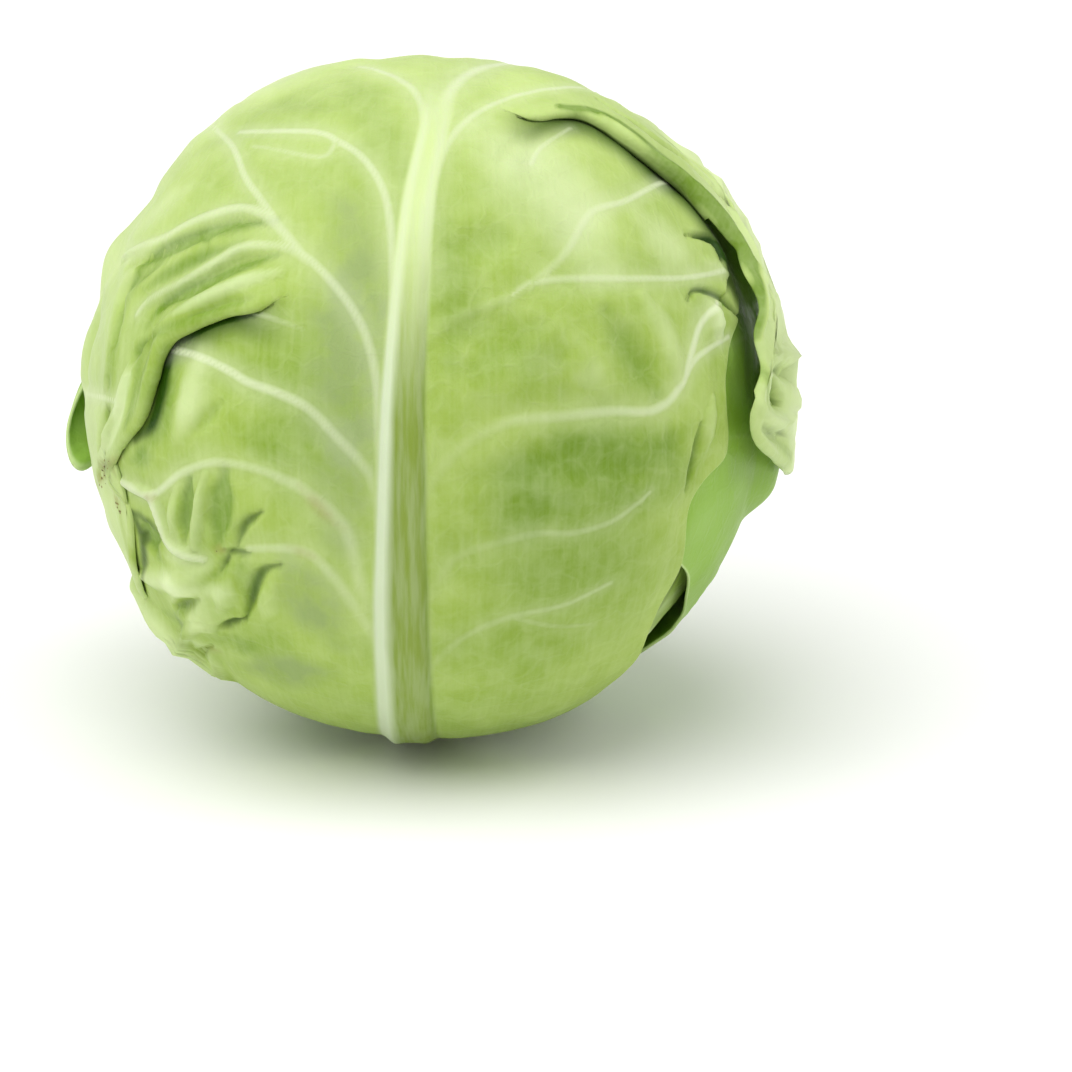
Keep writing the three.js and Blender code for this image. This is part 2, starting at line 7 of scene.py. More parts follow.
import bpy
import numpy as np
from bpy.props import FloatProperty, FloatVectorProperty, IntProperty, PointerProperty
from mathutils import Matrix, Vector, noise


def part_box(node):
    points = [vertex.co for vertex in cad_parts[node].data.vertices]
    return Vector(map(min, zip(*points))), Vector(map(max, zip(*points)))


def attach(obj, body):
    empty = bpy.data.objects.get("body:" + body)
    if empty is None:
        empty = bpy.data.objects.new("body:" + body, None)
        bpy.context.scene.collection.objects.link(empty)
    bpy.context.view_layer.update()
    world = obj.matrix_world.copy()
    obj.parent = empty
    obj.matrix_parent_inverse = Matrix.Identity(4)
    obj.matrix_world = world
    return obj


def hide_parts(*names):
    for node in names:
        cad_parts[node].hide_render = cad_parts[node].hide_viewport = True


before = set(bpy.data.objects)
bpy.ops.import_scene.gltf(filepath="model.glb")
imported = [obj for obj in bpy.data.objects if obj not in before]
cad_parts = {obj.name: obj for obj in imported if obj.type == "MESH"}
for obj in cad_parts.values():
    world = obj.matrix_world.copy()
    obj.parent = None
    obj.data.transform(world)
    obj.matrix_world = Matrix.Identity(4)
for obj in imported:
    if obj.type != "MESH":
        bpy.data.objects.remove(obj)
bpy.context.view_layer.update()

bl_info = {
    "name": "Cabbage head",
    "version": (1, 0, 0),
    "blender": (4, 5, 0),
    "location": "3D View > Sidebar > Cabbage",
    "description": "Wrapper leaves, heart, stalk and stage of a cabbage head",
    "category": "Add Mesh",
}

# Head
HEAD_CENTRE_Z = 89.0
HEAD_RADIUS = 90.3
LEAF_THICKNESS = 0.8
LEAF_PITCH = (0.0, 2.4, 4.5, 6.6, 9.1)
HEART_DEPTH = 11.6
DIMPLE_SHARE = 0.055
DIMPLE_SPREAD = 22.0
MM_PER_DEG = HEAD_RADIUS * math.pi / 180

# Leaf chart
CHART_LATITUDE = 20.0
BASE_ROW = -98.0
TIP_ROW = 112.0
FULL_WIDTH = 97.0
WIDEST_BUNCHING = 1.5
INNER_STRIDE = 3
COVER_MARGIN = 3.0
COVER_FADE = 8.0

# Picture of the front: centre and radius of the head in its pixels
PICTURE_CENTRE = (430.0, 400.0)
PICTURE_RADIUS = 345.0

# How far each row sags from the midrib to the margin
FRONT_SAG = ((-98, -0.003), (-75, -0.003), (-50, -0.0006), (-20, 0.0026), (0, 0.0048), (21.5, 0.0070),
             (40, 0.0066), (58.8, 0.0058), (80, 0.0044), (100, 0.0024), (112, 0.001))
WRAP_SAG = ((-98, -0.003), (-75, -0.003), (-50, -0.0015), (-20, -0.0002), (0, 0.0008), (25, 0.0016),
            (50, 0.0020), (80, 0.0022), (100, 0.0015), (112, 0.001))

# Half widths of the leaves by row, in degrees
WRAP_WIDTH = ((-98, 16), (-92, 22), (-85, 34), (-75, 52), (-60, 72), (-40, 86), (-20, 92), (0, 95),
              (20, 97), (45, 97), (65, 91), (80, 80), (95, 61), (105, 40), (112, 15))
FRONT_LOWER_RIGHT = ((-98, 16), (-92, 20), (-85, 27), (-75, 38), (-60, 46), (-40, 49), (-20, 51), (0, 56),
                     (15, 60), (37, 63), (58, 69))
FRONT_LOWER_LEFT = ((-98, 16), (-92, 20), (-85, 30), (-75, 50), (-60, 72), (-45, 79), (-20, 80), (21, 78))
FRONT_UPPER_LEFT = ((20, 90), (45, 92), (65, 89), (80, 80), (95, 61), (105, 40), (112, 15))
FRONT_UPPER_RIGHT = ((56, 78), (63, 86), (70, 91), (78, 82), (95, 61), (105, 40), (112, 15))
BACK_RIGHT = ((-98, 16), (-92, 22), (-85, 33), (-75, 48), (-60, 68), (-40, 88), (-20, 99), (-4, 109),
              (8, 121), (18, 127), (28, 126), (40, 118), (55, 108), (66, 101), (80, 86), (95, 63),
              (105, 42), (112, 15))
EDGE_WAVE = 1.6
EDGE_WAVE_RATE = 0.16
EDGE_WAVE_START = 0.6
EDGE_WAVE_ROW = -80
EDGE_WAVE_FADE = 25

# Folded pleats of the front leaf
BEND_RADIUS = 0.9
MAX_ROLL = 1.6
FOLD_LEAD = 0.07
FOLD_FADE = 0.13
LOWER_DIP = 1.2
DIP_ROWS = 8.0
DIP_FADE = 5.5
SHELTER_STEP = 0.72
SHELTER_STEP_FADE = 0.16
SHELTER_ROW = -52
SHELTER_ROW_FADE = 14
QUIET_ROWS = 4.0
PLEAT_BAND = 2.5
PLEAT_SPAN = 9
RIM_STEP = 7
RIM_PROBE = 0.02
RIM_HEIGHT_SHARE = 0.45
Pleat = namedtuple("Pleat", "row start slit tuck blend_rows lift_rows wave_from rim lift")
LEFT_PLEAT = Pleat(
    row=21.5, start=0.3, slit=0.69, tuck=6, blend_rows=30, lift_rows=12, wave_from=45,
    rim=((0, 430, 268), (0.2, 330, 300), (0.31, 258, 315), (0.35, 236, 317), (0.39, 215, 324),
         (0.44, 192, 334), (0.475, 175, 343), (0.51, 164, 360), (0.55, 158, 382), (0.62, 146, 420),
         (0.69, 124, 449), (0.75, 113, 480), (0.82, 131, 512), (0.9, 136, 560), (1, 148, 612)),
    lift=((0, 1.6), (0.31, 1.9), (0.43, 3.4), (0.55, 4.2), (0.62, 3.0), (0.72, 1.5), (0.8, 1.3),
          (0.9, 1.5), (1, 1.3)))
RIGHT_PLEAT = Pleat(
    row=58.8, start=0.2, slit=0.62, tuck=6, blend_rows=28, lift_rows=42, wave_from=66,
    rim=((0, 430, 118), (0.15, 500, 126), (0.22, 540, 122), (0.26, 556, 118), (0.31, 578, 118),
         (0.37, 602, 128), (0.43, 626, 146), (0.49, 655, 167), (0.55, 680, 187), (0.62, 708, 219),
         (0.68, 731, 250), (0.73, 741, 278), (0.78, 751, 305), (0.83, 750, 335), (0.88, 754, 370),
         (0.92, 745, 404), (0.96, 753, 446), (1, 780, 472)),
    lift=((0, 1.6), (0.22, 1.8), (0.37, 3.0), (0.5, 3.2), (0.62, 3.4), (0.72, 4.4), (0.79, 6.6),
          (0.84, 5.4), (0.9, 7.2), (0.95, 5.8), (1, 6.6)))

# Midrib: height and half width by row
RIB_HEIGHT = ((-98, 2.2), (-80, 2.5), (-60, 2.5), (-38, 2.3), (0, 1.8), (35, 1.2), (60, 0.7), (112, 0.2))
RIB_HALF_WIDTH = ((-98, 13), (-85, 11.5), (-60, 9), (-35, 7.6), (-15, 6.4), (3, 5.6), (17, 5), (35, 4.3),
                  (50, 4.4), (60, 5), (75, 6), (112, 6))
# Across the midrib: share of the rounded body, then height, place and width of the strand and the crest
RIB_BODY = 0.78
RIB_STRAND = (0.30, -0.5, 0.26)
RIB_CREST = (0.12, 0.62, 0.18)
MIDRIB_END = (46.0, 72.0)
FRONT_MIDRIB = ((402, 610), (403, 500), (405, 400), (411, 300), (420, 200), (437, 120), (447, 62))

# Side veins of the leaves behind, on each half: count, foot of the first and pitch of the feet in rows,
# reach of the longest by share of the half width, rise and its curl in degrees, and forks by mark and spread
SIDE_VEINS = 7
FIRST_FOOT = -72
FOOT_PITCH = 21
SIDE_REACH = 0.87
SIDE_RISE = 30
SIDE_CURL = 9
FORKS = ((3, 24), (5, 18))
FORK_RISE = 1.4

# Waved margins and the turned-up margin tip
WAVE_LIFT = 2.6
WAVE_PITCH = 17.0
WAVE_START = 0.84
WAVE_ROW = -70
WAVE_FADE = 20
FLARE_ROW = 28.0
FLARE_SPREAD = 18.0
FLARE_START = 0.8
FLARE_LIFT = 11.0

# Lines on a leaf. A vein has a path, its half width at both ends and its height in mm, its paleness at both
# ends and the lobe that it stays on: -1 below a fold, 1 above it, 0 both. A stroke has a path, a half width
# in mm and a height, which is in mm for relief and a share for colour
Vein = namedtuple("Vein", "path start end height pale pale_end lobe")
Stroke = namedtuple("Stroke", "path half height")
SIDE_VEIN = Vein(None, 2.0, 0.9, 0.6, 0.5, 0.3, 0)
FORK_VEIN = Vein(None, 1.1, 0.6, 0.35, 0.35, 0.05, 0)

# Bulge under the loose flap, and painted shade: the deep green of the gap there
GAP_SHADE = (Stroke(((700, 200), (733, 250), (750, 310), (757, 395)), 10, 0.62),
             Stroke(((716, 300), (735, 360), (738, 420)), 7, 0.3))
FLAP_BULGES = ((((88, 32), (92, 8)), 3.4, 18.0), (((92, 4), (92, -22)), 6.0, 22.0),
               (((67, 57), (74, 48), (80, 37), (84, 28)), 3.4, 14.0))

# Veins of the front leaf, paths in the picture
FRONT_VEINS = (
    Vein(((380, 640), (358, 610), (338, 582), (314, 557), (289, 550), (250, 550)),
         2.6, 1.4, 0.3, 0.35, 0.5, -1),
    Vein(((378, 616), (363, 592), (348, 532), (308, 493), (279, 478)), 2.8, 1.8, 0.3, 0.3, 0.5, -1),
    Vein(((290, 484), (270, 474), (240, 466), (214, 464), (184, 474), (154, 496), (135, 488), (113, 478)),
         1.6, 1.3, 0.7, 0.45, 0.95, -1),
    Vein(((154, 496), (163, 521), (172, 540), (190, 552), (208, 559)), 1.2, 1.0, 0.5, 0.9, 0.6, -1),
    Vein(((388, 580), (383, 527), (373, 478), (338, 438), (310, 410), (280, 395), (250, 384), (230, 372),
          (200, 358), (173, 351)), 2.0, 1.3, 0.4, 0.25, 1.0, -1),
    Vein(((386, 620), (384, 540), (383, 488), (381, 430), (379, 385), (370, 345), (358, 318), (340, 292),
          (318, 268), (299, 252), (279, 226), (262, 201), (246, 178), (232, 146), (214, 130)),
         1.7, 1.2, 0.5, 0.5, 0.85, 0),
    Vein(((299, 252), (280, 229), (262, 215), (240, 211), (200, 223), (160, 243), (120, 258)),
         1.7, 1.1, 0.4, 0.7, 0.6, 1),
    Vein(((312, 264), (286, 250), (246, 250), (215, 268), (180, 288), (150, 302), (138, 316)),
         1.6, 1.0, 0.4, 0.5, 0.55, 1),
    Vein(((396, 470), (394, 380), (395, 300), (392, 229), (383, 189), (363, 159), (338, 142), (319, 134),
          (264, 132), (239, 132)), 1.5, 1.3, 0.45, 0.6, 0.85, 0),
    Vein(((338, 142), (319, 159), (254, 147)), 1.2, 0.9, 0.25, 0.5, 0.35, 1),
    Vein(((430, 150), (420, 100), (400, 80), (378, 70), (358, 65)), 1.9, 1.2, 0.35, 0.6, 0.9, 1),
    Vein(((424, 290), (432, 210), (438, 174), (453, 139), (478, 115), (513, 100), (562, 95), (592, 97)),
         1.8, 1.0, 0.5, 0.5, 0.85, 0),
    Vein(((425, 210), (431, 160), (438, 120), (453, 90), (473, 72), (503, 65), (518, 62)),
         2.6, 2.4, 0.5, 0.6, 0.95, 0),
    Vein(((532, 166), (542, 149), (572, 129)), 1.0, 0.8, 0.25, 0.6, 0.5, -1),
    Vein(((416, 370), (438, 331), (473, 314), (513, 299), (542, 279), (567, 254), (592, 214), (627, 202),
          (667, 182), (684, 186)), 1.8, 1.0, 0.45, 0.05, 0.95, -1),
    Vein(((513, 299), (538, 284), (587, 281), (637, 281), (687, 279), (724, 272)),
         1.4, 1.0, 0.4, 0.5, 0.8, -1),
    Vein(((412, 520), (436, 480), (453, 458), (478, 438), (513, 423), (562, 418), (612, 413), (657, 411),
          (682, 385), (694, 350), (702, 325), (718, 305)), 2.1, 1.3, 0.5, 0.1, 0.95, -1),
    Vein(((684, 382), (700, 357), (733, 337)), 1.3, 1.0, 0.4, 0.8, 0.85, -1),
    Vein(((412, 630), (430, 600), (453, 562), (488, 547), (538, 535), (577, 534), (618, 520), (650, 494)),
         1.7, 0.8, 0.25, 0.05, 0.4, -1),
    Vein(((408, 700), (428, 672), (462, 640), (512, 618), (566, 606), (612, 584)),
         1.7, 0.8, 0.25, 0.1, 0.4, -1),
    Vein(((512, 618), (556, 628), (592, 626)), 1.0, 0.7, 0.15, 0.25, 0.2, -1),
    Vein(((84, 394), (100, 398), (121, 404)), 1.0, 1.2, 0.4, 0.8, 0.9, 1),
    Vein(((250, 312), (272, 320), (305, 332)), 1.1, 0.8, 0.2, 0.5, 0.2, -1),
)

# Swells and creases of the lower lobes, paths in the picture
LOWER_RELIEF = (
    Stroke(((185, 520), (195, 590), (205, 650)), 15, 1.8),
    Stroke(((115, 478), (135, 488), (153, 497), (163, 521), (172, 540), (190, 552), (207, 559)),
           2.8, 1.3),
    Stroke(((148, 528), (156, 550)), 6.5, -1.8),
    Stroke(((207, 476), (203, 505), (199, 547)), 2.5, 1.5),
    Stroke(((179, 490), (176, 534)), 3.2, 0.9),
    Stroke(((191, 480), (189, 542)), 3.4, -1.7),
    Stroke(((226, 474), (221, 542)), 5.5, -1.5),
    Stroke(((264, 513), (246, 526), (239, 545)), 2.6, -1.6),
    Stroke(((226, 551), (252, 556)), 2.2, -1.0),
    Stroke(((232, 553), (224, 570)), 2.2, -1.0),
    Stroke(((140, 576), (185, 580), (216, 566)), 6.5, 1.1),
    Stroke(((180, 606), (192, 602), (204, 596)), 4.8, -1.9),
    Stroke(((181, 652), (190, 632), (205, 621), (224, 631)), 2.8, 1.5),
    Stroke(((220, 626), (245, 620)), 2.3, -1.6),
    Stroke(((247, 620), (253, 598), (259, 580), (267, 571), (282, 567)), 3.2, -2.0),
    Stroke(((236, 572), (224, 608)), 5, 1.2),
    Stroke(((275, 585), (268, 618)), 5, 0.8),
    Stroke(((198, 682), (199, 660), (206, 648), (215, 643)), 2.6, -2.2),
    Stroke(((182, 656), (192, 676)), 4, 1.2),
    Stroke(((216, 655), (218, 690)), 4.5, 1.2),
    Stroke(((135, 590), (165, 640), (192, 676), (235, 706)), 16, 4.4),
    Stroke(((204, 352), (196, 400), (182, 438)), 8, 1.0),
    Stroke(((225, 405), (198, 432)), 3.5, -0.8),
    Stroke(((686, 236), (704, 238), (715, 245), (722, 262)), 2.3, -1.5),
    Stroke(((688, 301), (696, 291), (712, 293), (730, 303), (746, 321)), 2.4, -1.7),
    Stroke(((712, 307), (724, 335)), 5, 1.5),
    Stroke(((702, 262), (728, 275)), 5, 0.8),
    Stroke(((606, 314), (632, 355), (656, 398)), 7, -0.9),
    Stroke(((642, 300), (668, 345), (680, 382)), 6, 1.1),
    Stroke(((575, 345), (600, 392)), 8, 0.7),
    Stroke(((701, 424), (694, 460), (688, 492)), 2.6, -1.1),
    Stroke(((714, 400), (706, 450)), 4, 0.9),
    Stroke(((668, 425), (672, 480)), 4.5, -0.7),
    Stroke(((640, 440), (640, 500)), 6, 0.6),
    Stroke(((455, 340), (540, 330)), 9, -0.9),
    Stroke(((470, 390), (570, 380)), 9, 0.6),
    Stroke(((470, 480), (560, 460), (640, 470)), 9, -0.8),
    Stroke(((330, 440), (290, 430)), 8, -0.5),
)

# Swells and creases of the top of the leaf and its upper lobes
UPPER_RELIEF = (
    Stroke(((285, 226), (240, 212), (200, 224), (160, 243), (122, 258)), 3.6, 1.0),
    Stroke(((262, 224), (238, 223), (212, 233), (180, 248), (150, 259), (128, 267)), 3.8, -1.3),
    Stroke(((290, 252), (246, 250), (215, 268), (180, 288), (150, 302), (138, 316)), 3.4, 0.9),
    Stroke(((270, 259), (240, 266), (205, 290), (165, 308)), 3.8, -1.3),
    Stroke(((285, 276), (250, 283), (220, 300), (190, 318), (168, 334)), 3.4, 1.0),
    Stroke(((258, 303), (232, 308), (202, 321)), 2.6, -0.9),
    Stroke(((168, 334), (150, 352), (134, 372), (127, 392), (122, 410), (112, 436)), 3.2, 1.2),
    Stroke(((152, 342), (138, 362), (135, 374)), 3, -1.2),
    Stroke(((168, 262), (142, 276), (124, 295), (121, 320), (117, 345)), 4.2, -1.3),
    Stroke(((210, 238), (204, 262)), 3, -0.8),
    Stroke(((112, 380), (104, 392)), 3, -0.7),
    Stroke(((108, 410), (100, 455)), 3.2, -1.3),
    Stroke(((96, 480), (109, 467)), 2.2, -1.2),
    Stroke(((118, 412), (108, 450), (100, 472)), 2.6, 1.0),
    Stroke(((240, 100), (330, 110)), 8, -0.6),
    Stroke(((102, 300), (91, 345), (86, 380)), 8, -1.1),
    Stroke(((160, 170), (240, 95), (350, 45)), 24, 1.7),
    Stroke(((320, 190), (350, 240)), 8, -0.5),
    Stroke(((480, 150), (600, 200)), 14, 0.7),
    Stroke(((455, 250), (520, 240)), 9, -0.9),
    Stroke(((520, 140), (500, 165)), 4, -0.5),
)
RELIEF_GAIN = 1.45
RELIEF_FLOOR = -1.35
LOOSE_FLOOR = 4.0
FLOOR_SOFTNESS = 0.4
PILLOW_REACH = 9.0
QUIET_RIB = 0.15
LOBE_EDGE = 1.6
LOOSE_FROM = 52.0
LOOSE_FADE = 20.0
FAR = 9.0
FOLD_SHADE = 0.75
FOLD_SHADE_ROWS = 11.5
FOLD_SHADE_FADE = 5.0

# Curls of the loose flap at the right
FLAP_GAIN = 1.0
FLAP_PROUD = 2.6
FLAP_PALE = 0.55
FLAP_RELIEF = (
    Stroke(((600, 118), (640, 150), (692, 190), (714, 214), (730, 236), (741, 260), (755, 290),
           (760, 312)), 2.8, 1.6),
    Stroke(((598, 100), (655, 140), (690, 166), (716, 196), (738, 226), (755, 258), (770, 293)),
           2.8, -2.0),
    Stroke(((600, 88), (660, 124), (706, 164), (744, 222), (766, 262)), 2.8, 1.2),
    Stroke(((660, 128), (700, 172)), 2.4, -1.0),
    Stroke(((763, 355), (780, 358), (802, 350)), 3.6, 3.2),
    Stroke(((760, 370), (780, 377), (800, 370)), 3.6, -2.2),
    Stroke(((763, 384), (768, 410)), 5.0, -4.5),
    Stroke(((744, 402), (751, 414), (762, 422), (775, 418), (782, 400), (779, 380)), 3.4, 3.0),
    Stroke(((750, 428), (764, 437), (779, 432)), 3.4, -1.8),
    Stroke(((762, 296), (774, 304)), 2.5, 1.4),
    Stroke(((755, 440), (768, 470)), 3, 1.0),
    Stroke(((792, 430), (786, 460)), 3, -1.0),
)

# Painted shade: deep green lines inside creases and along the folded rim, paths in the picture
CREASE_SHADE = (
    Stroke(((172, 352), (169, 372), (163, 400), (155, 425), (138, 442)), 4.2, 1.0),
    Stroke(((258, 318), (230, 321), (200, 333), (172, 348)), 2.0, 0.52),
    Stroke(((124, 500), (138, 522), (145, 548), (147, 582)), 3.6, 0.75),
    Stroke(((264, 513), (246, 526), (239, 545)), 2.2, 0.52),
    Stroke(((226, 551), (252, 556)), 1.8, 0.52),
    Stroke(((232, 553), (224, 570)), 1.8, 0.45),
    Stroke(((128, 508), (150, 522), (165, 541)), 2.2, 0.52),
    Stroke(((180, 606), (192, 602), (202, 597)), 3.0, 0.3),
    Stroke(((220, 626), (245, 620)), 2.0, 0.68),
    Stroke(((247, 620), (253, 598), (259, 580), (267, 571), (282, 567)), 2.5, 0.6),
    Stroke(((198, 682), (199, 660), (206, 648), (215, 643)), 2.2, 0.68),
    Stroke(((686, 236), (704, 238), (715, 245), (722, 262)), 2.4, 0.68),
    Stroke(((718, 246), (728, 262)), 4.5, 0.68),
    Stroke(((688, 301), (696, 291), (712, 293), (730, 303), (746, 321)), 2.2, 0.75),
    Stroke(((701, 424), (694, 460), (688, 492)), 1.8, 0.38),
)

# Painted shade: deep green lines in the creases of the upper lobes
UPPER_SHADE = (
    Stroke(((104, 474), (118, 461)), 3.0, 0.5),
    Stroke(((108, 410), (100, 455)), 2.2, 0.4),
    Stroke(((152, 342), (138, 362)), 2.2, 0.3),
)

# Painted shade: deep green lines under the rim and in the pocket and grooves of the loose flap
FLAP_SHADE = (
    Stroke(((598, 100), (655, 140), (690, 166), (716, 196), (738, 226), (755, 258), (770, 293)),
           2.0, 0.45),
    Stroke(((763, 384), (768, 410)), 3.0, 0.9),
    Stroke(((760, 368), (780, 375), (796, 367)), 1.8, 0.4),
    Stroke(((750, 425), (764, 434), (777, 430)), 1.4, 0.5),
)

# Deeper (positive) and paler (negative) patches of the blade, paths in the picture
# Mostly painted shade in valleys and towards the lower right, painted light on swells; partly the blade's
# own tone
TONE_AND_SHADE_PLACES = (
    Stroke(((446, 230), (456, 300), (452, 360)), 9, 0.45),
    Stroke(((455, 370), (560, 392)), 11, 0.5),
    Stroke(((606, 318), (638, 370), (656, 400)), 12, 0.5),
    Stroke(((500, 470), (600, 460), (690, 480)), 22, 0.45),
    Stroke(((470, 545), (580, 520), (680, 470)), 34, 0.55),
    Stroke(((560, 440), (640, 450), (690, 430)), 9, 0.45),
    Stroke(((191, 480), (189, 542)), 4.2, 1.2),
    Stroke(((226, 474), (220, 545)), 6.4, 1.15),
    Stroke(((176, 352), (171, 390), (161, 425), (143, 450)), 7.5, 0.9),
    Stroke(((160, 262), (128, 300), (114, 360), (108, 425)), 6.5, 0.9),
    Stroke(((222, 268), (176, 296), (148, 330)), 3.6, 0.8),
    Stroke(((165, 560), (205, 576), (242, 566)), 5.0, 0.5),
    Stroke(((165, 612), (200, 628), (240, 640)), 6.0, 0.6),
    Stroke(((142, 515), (150, 532), (160, 556)), 6.5, 1.1),
    Stroke(((118, 500), (132, 540), (150, 585)), 4, 0.5),
    Stroke(((246, 560), (252, 600)), 6, 0.5),
    Stroke(((206, 585), (232, 590)), 5, -0.4),
    Stroke(((280, 224), (212, 234), (150, 259), (128, 290)), 3.8, 1.5),
    Stroke(((280, 258), (205, 291), (160, 312)), 3.8, 1.4),
    Stroke(((245, 246), (190, 266), (145, 290)), 4.0, 1.0),
    Stroke(((250, 308), (202, 325), (150, 350), (140, 400), (135, 430)), 3.2, 0.7),
    Stroke(((240, 640), (255, 655)), 8, 0.6),
    Stroke(((190, 600), (185, 630)), 7, 0.8),
    Stroke(((350, 80), (410, 180)), 12, 0.35),
    Stroke(((240, 430), (300, 460)), 10, 0.35),
    Stroke(((480, 130), (560, 200), (600, 270)), 22, -0.9),
    Stroke(((640, 220), (690, 270)), 12, -0.6),
    Stroke(((230, 90), (330, 60)), 15, -0.5),
    Stroke(((190, 190), (140, 230)), 10, -0.5),
    Stroke(((280, 276), (220, 300), (190, 318)), 3.4, -0.6),
    Stroke(((200, 370), (190, 430)), 9, -0.4),
    Stroke(((140, 576), (185, 580), (216, 566)), 5.5, -0.3),
    Stroke(((715, 315), (725, 345)), 5, -0.7),
    Stroke(((460, 640), (580, 600), (660, 560)), 34, 0.45),
    Stroke(((230, 330), (300, 400), (340, 560)), 26, 0.45),
    Stroke(((480, 500), (560, 505)), 16, 0.5),
    Stroke(((500, 360), (580, 360)), 12, 0.3),
    Stroke(((135, 462), (155, 456)), 5, 0.9),
    Stroke(((135, 375), (128, 400), (122, 430), (108, 455)), 3.4, -1.2),
    Stroke(((162, 352), (150, 382), (143, 410), (132, 430)), 3.8, 0.7),
    Stroke(((147, 340), (136, 362)), 4, 0.8),
    Stroke(((104, 400), (110, 440)), 4, 0.6),
    Stroke(((250, 640), (300, 660)), 18, 0.3),
)

# Deeper and paler patches of the loose flap: painted shade along its rolled rim, pocket and grooves; paler
# is its own colour
FLAP_TONE_AND_SHADE = (
    Stroke(((600, 80), (660, 118), (720, 175), (764, 245), (788, 330), (794, 400), (776, 450)), 7, -1.0),
    Stroke(((560, 108), (602, 117), (650, 153), (692, 189), (728, 235), (747, 282), (750, 340)),
           4.0, 3.0),
    Stroke(((640, 118), (690, 160), (730, 212)), 2.4, 1.0),
    Stroke(((748, 250), (772, 300), (780, 340)), 2.4, 0.9),
    Stroke(((760, 368), (780, 374), (798, 366)), 2.4, 0.8),
    Stroke(((748, 345), (752, 380), (756, 410)), 2.6, 1.2),
    Stroke(((763, 384), (768, 410)), 3.4, 1.4),
    Stroke(((762, 440), (776, 452), (784, 468)), 4.0, 1.0),
)

# Waxy bloom, corky and stained places of the front leaf, paths in the picture
BLOOM_PLACES = (
    Stroke(((352, 210), (355, 400), (345, 540)), 19, 1.0),
    Stroke(((290, 560), (340, 640)), 14, 0.9),
    Stroke(((250, 670), (330, 670)), 12, 0.9),
    Stroke(((520, 340), (600, 400)), 12, 0.25),
)
CORK_PLACES = (
    Stroke(((98, 484), (107, 472), (120, 460)), 1.8, 1.0),
    Stroke(((118, 502), (124, 512)), 1.8, 1.0),
    Stroke(((218, 550), (226, 551)), 1.1, 1.0),
)
RUST_PLACES = (
    Stroke(((300, 487), (345, 530)), 3.0, 0.5),
    Stroke(((290, 548), (325, 563)), 2.4, 0.45),
    Stroke(((94, 486), (106, 470), (122, 458)), 3.2, 1.0),
    Stroke(((116, 498), (124, 512)), 3.2, 1.0),
    Stroke(((212, 550), (226, 551)), 2.4, 0.9),
    Stroke(((150, 496), (160, 500)), 2.0, 0.6),
    Stroke(((206, 645), (222, 650)), 3.0, 0.4),
)

# Heart and stalk: divisions of their meshes, and the stalk's profile by share of its height and radius
HEART_SECTORS = 120
HEART_RINGS = 90
HEART_POLE = 0.03
HEART_LEAVES = 3
HEART_TWIST = 1.6
HEART_STEP = 0.7
HEART_SINK = 0.5
STALK_SECTORS = 96
STALK_PROFILE = ((0.0, 0.3), (0.0, 0.62), (0.0, 0.8), (0.0, 0.955), (0.02, 0.985), (0.07, 1.0), (0.2, 0.985),
                 (0.4, 0.95), (0.6, 0.935), (0.8, 0.935), (0.98, 0.935), (1.0, 0.9), (1.0, 0.4))

# Woody dots of the stalk: how far they stray from their ring, and above the cut face, in metres
BUNDLE_STRAY = 0.0006
BUNDLE_RAISE = 0.00005

# Finer sampling of the meshes: step between grid lines in degrees
FRONT_FINE = 0.66
FRONT_WIDE = 1.5
FINE_ROWS = (-46, 76)
FLAP_SPAN = 1.05

# Stage values: a broad sky light by direction, softness in degrees and strength, then soft lights by name,
# place, size in metres and power in watts
SKY_LIGHT_FROM = (-0.3, -0.25, 1.0)
SKY_LIGHT_SOFTNESS = 70.0
SKY_LIGHT_STRENGTH = 2.25
SOFT_LIGHTS = (
    ("left_light", (-1.2, -0.5, 0.9), 1.0, 3.0),
    ("right_light", (1.2, 0.1, 0.9), 1.0, 5.5),
)
WORLD_STRENGTH = 0.42
FLOOR_REACH = 4.0
CAMERA_ELEVATION = 20.0
CAMERA_DISTANCE = 6.0
CAMERA_LENS = 762.5
SENSOR_WIDTH = 36.0
AIM_RIGHT = 0.0280
AIM_DOWN = 0.0360

# Leaf skin: shares of its layers, and plain values of its shader
TONE_SHARE = 0.95
BLOOM_SHARE = 0.75
CREASE_SHARE = 1.1
LEAF_SHADER = {
    "Subsurface Weight": 0.06,
    "Subsurface Radius": (0.55, 1.0, 0.25),
    "Subsurface Scale": 0.0015,
    "Specular IOR Level": 0.16,
    "Coat Weight": 0.01,
    "Coat Roughness": 0.3,
}

SKIN_FIELDS = ("vein", "pale", "across", "ribbed", "shade", "tone", "bloom", "cork", "rust")
Leaf = namedtuple("Leaf", "number azimuth depth sag lower upper pleats cover covers")


# Curves and charts

def smooth(t):
    c = np.clip(t, 0, 1)
    return c * c * (3 - 2 * c)


def mix(a, b, t):
    return a + (b - a) * t


def cubic(a, b, start, end, t):
    """Cubic from a to b with the slopes start and end, at a share t of the way."""
    t2, t3 = t * t, t * t * t
    return (a * (2 * t3 - 3 * t2 + 1) + start * (t3 - 2 * t2 + t)
            + b * (3 * t2 - 2 * t3) + end * (t3 - t2))


def curve(pairs, at):
    """Smooth curve through (position, value) pairs, level beyond both ends."""
    place = np.array([p[0] for p in pairs], float)
    value = np.array([p[1] for p in pairs], float)
    last = len(pairs) - 1
    at = np.clip(np.asarray(at, float), place[0], place[-1])
    i = np.clip(np.searchsorted(place, at, side="left") - 1, 0, last - 1)
    span = place[i + 1] - place[i]
    before = np.maximum(i - 1, 0)
    after = np.minimum(i + 2, last)
    start = (value[i + 1] - value[before]) / (place[i + 1] - place[before]) * span
    end = (value[after] - value[i]) / (place[after] - place[i]) * span
    return cubic(value[i], value[i + 1], start, end, (at - place[i]) / span)


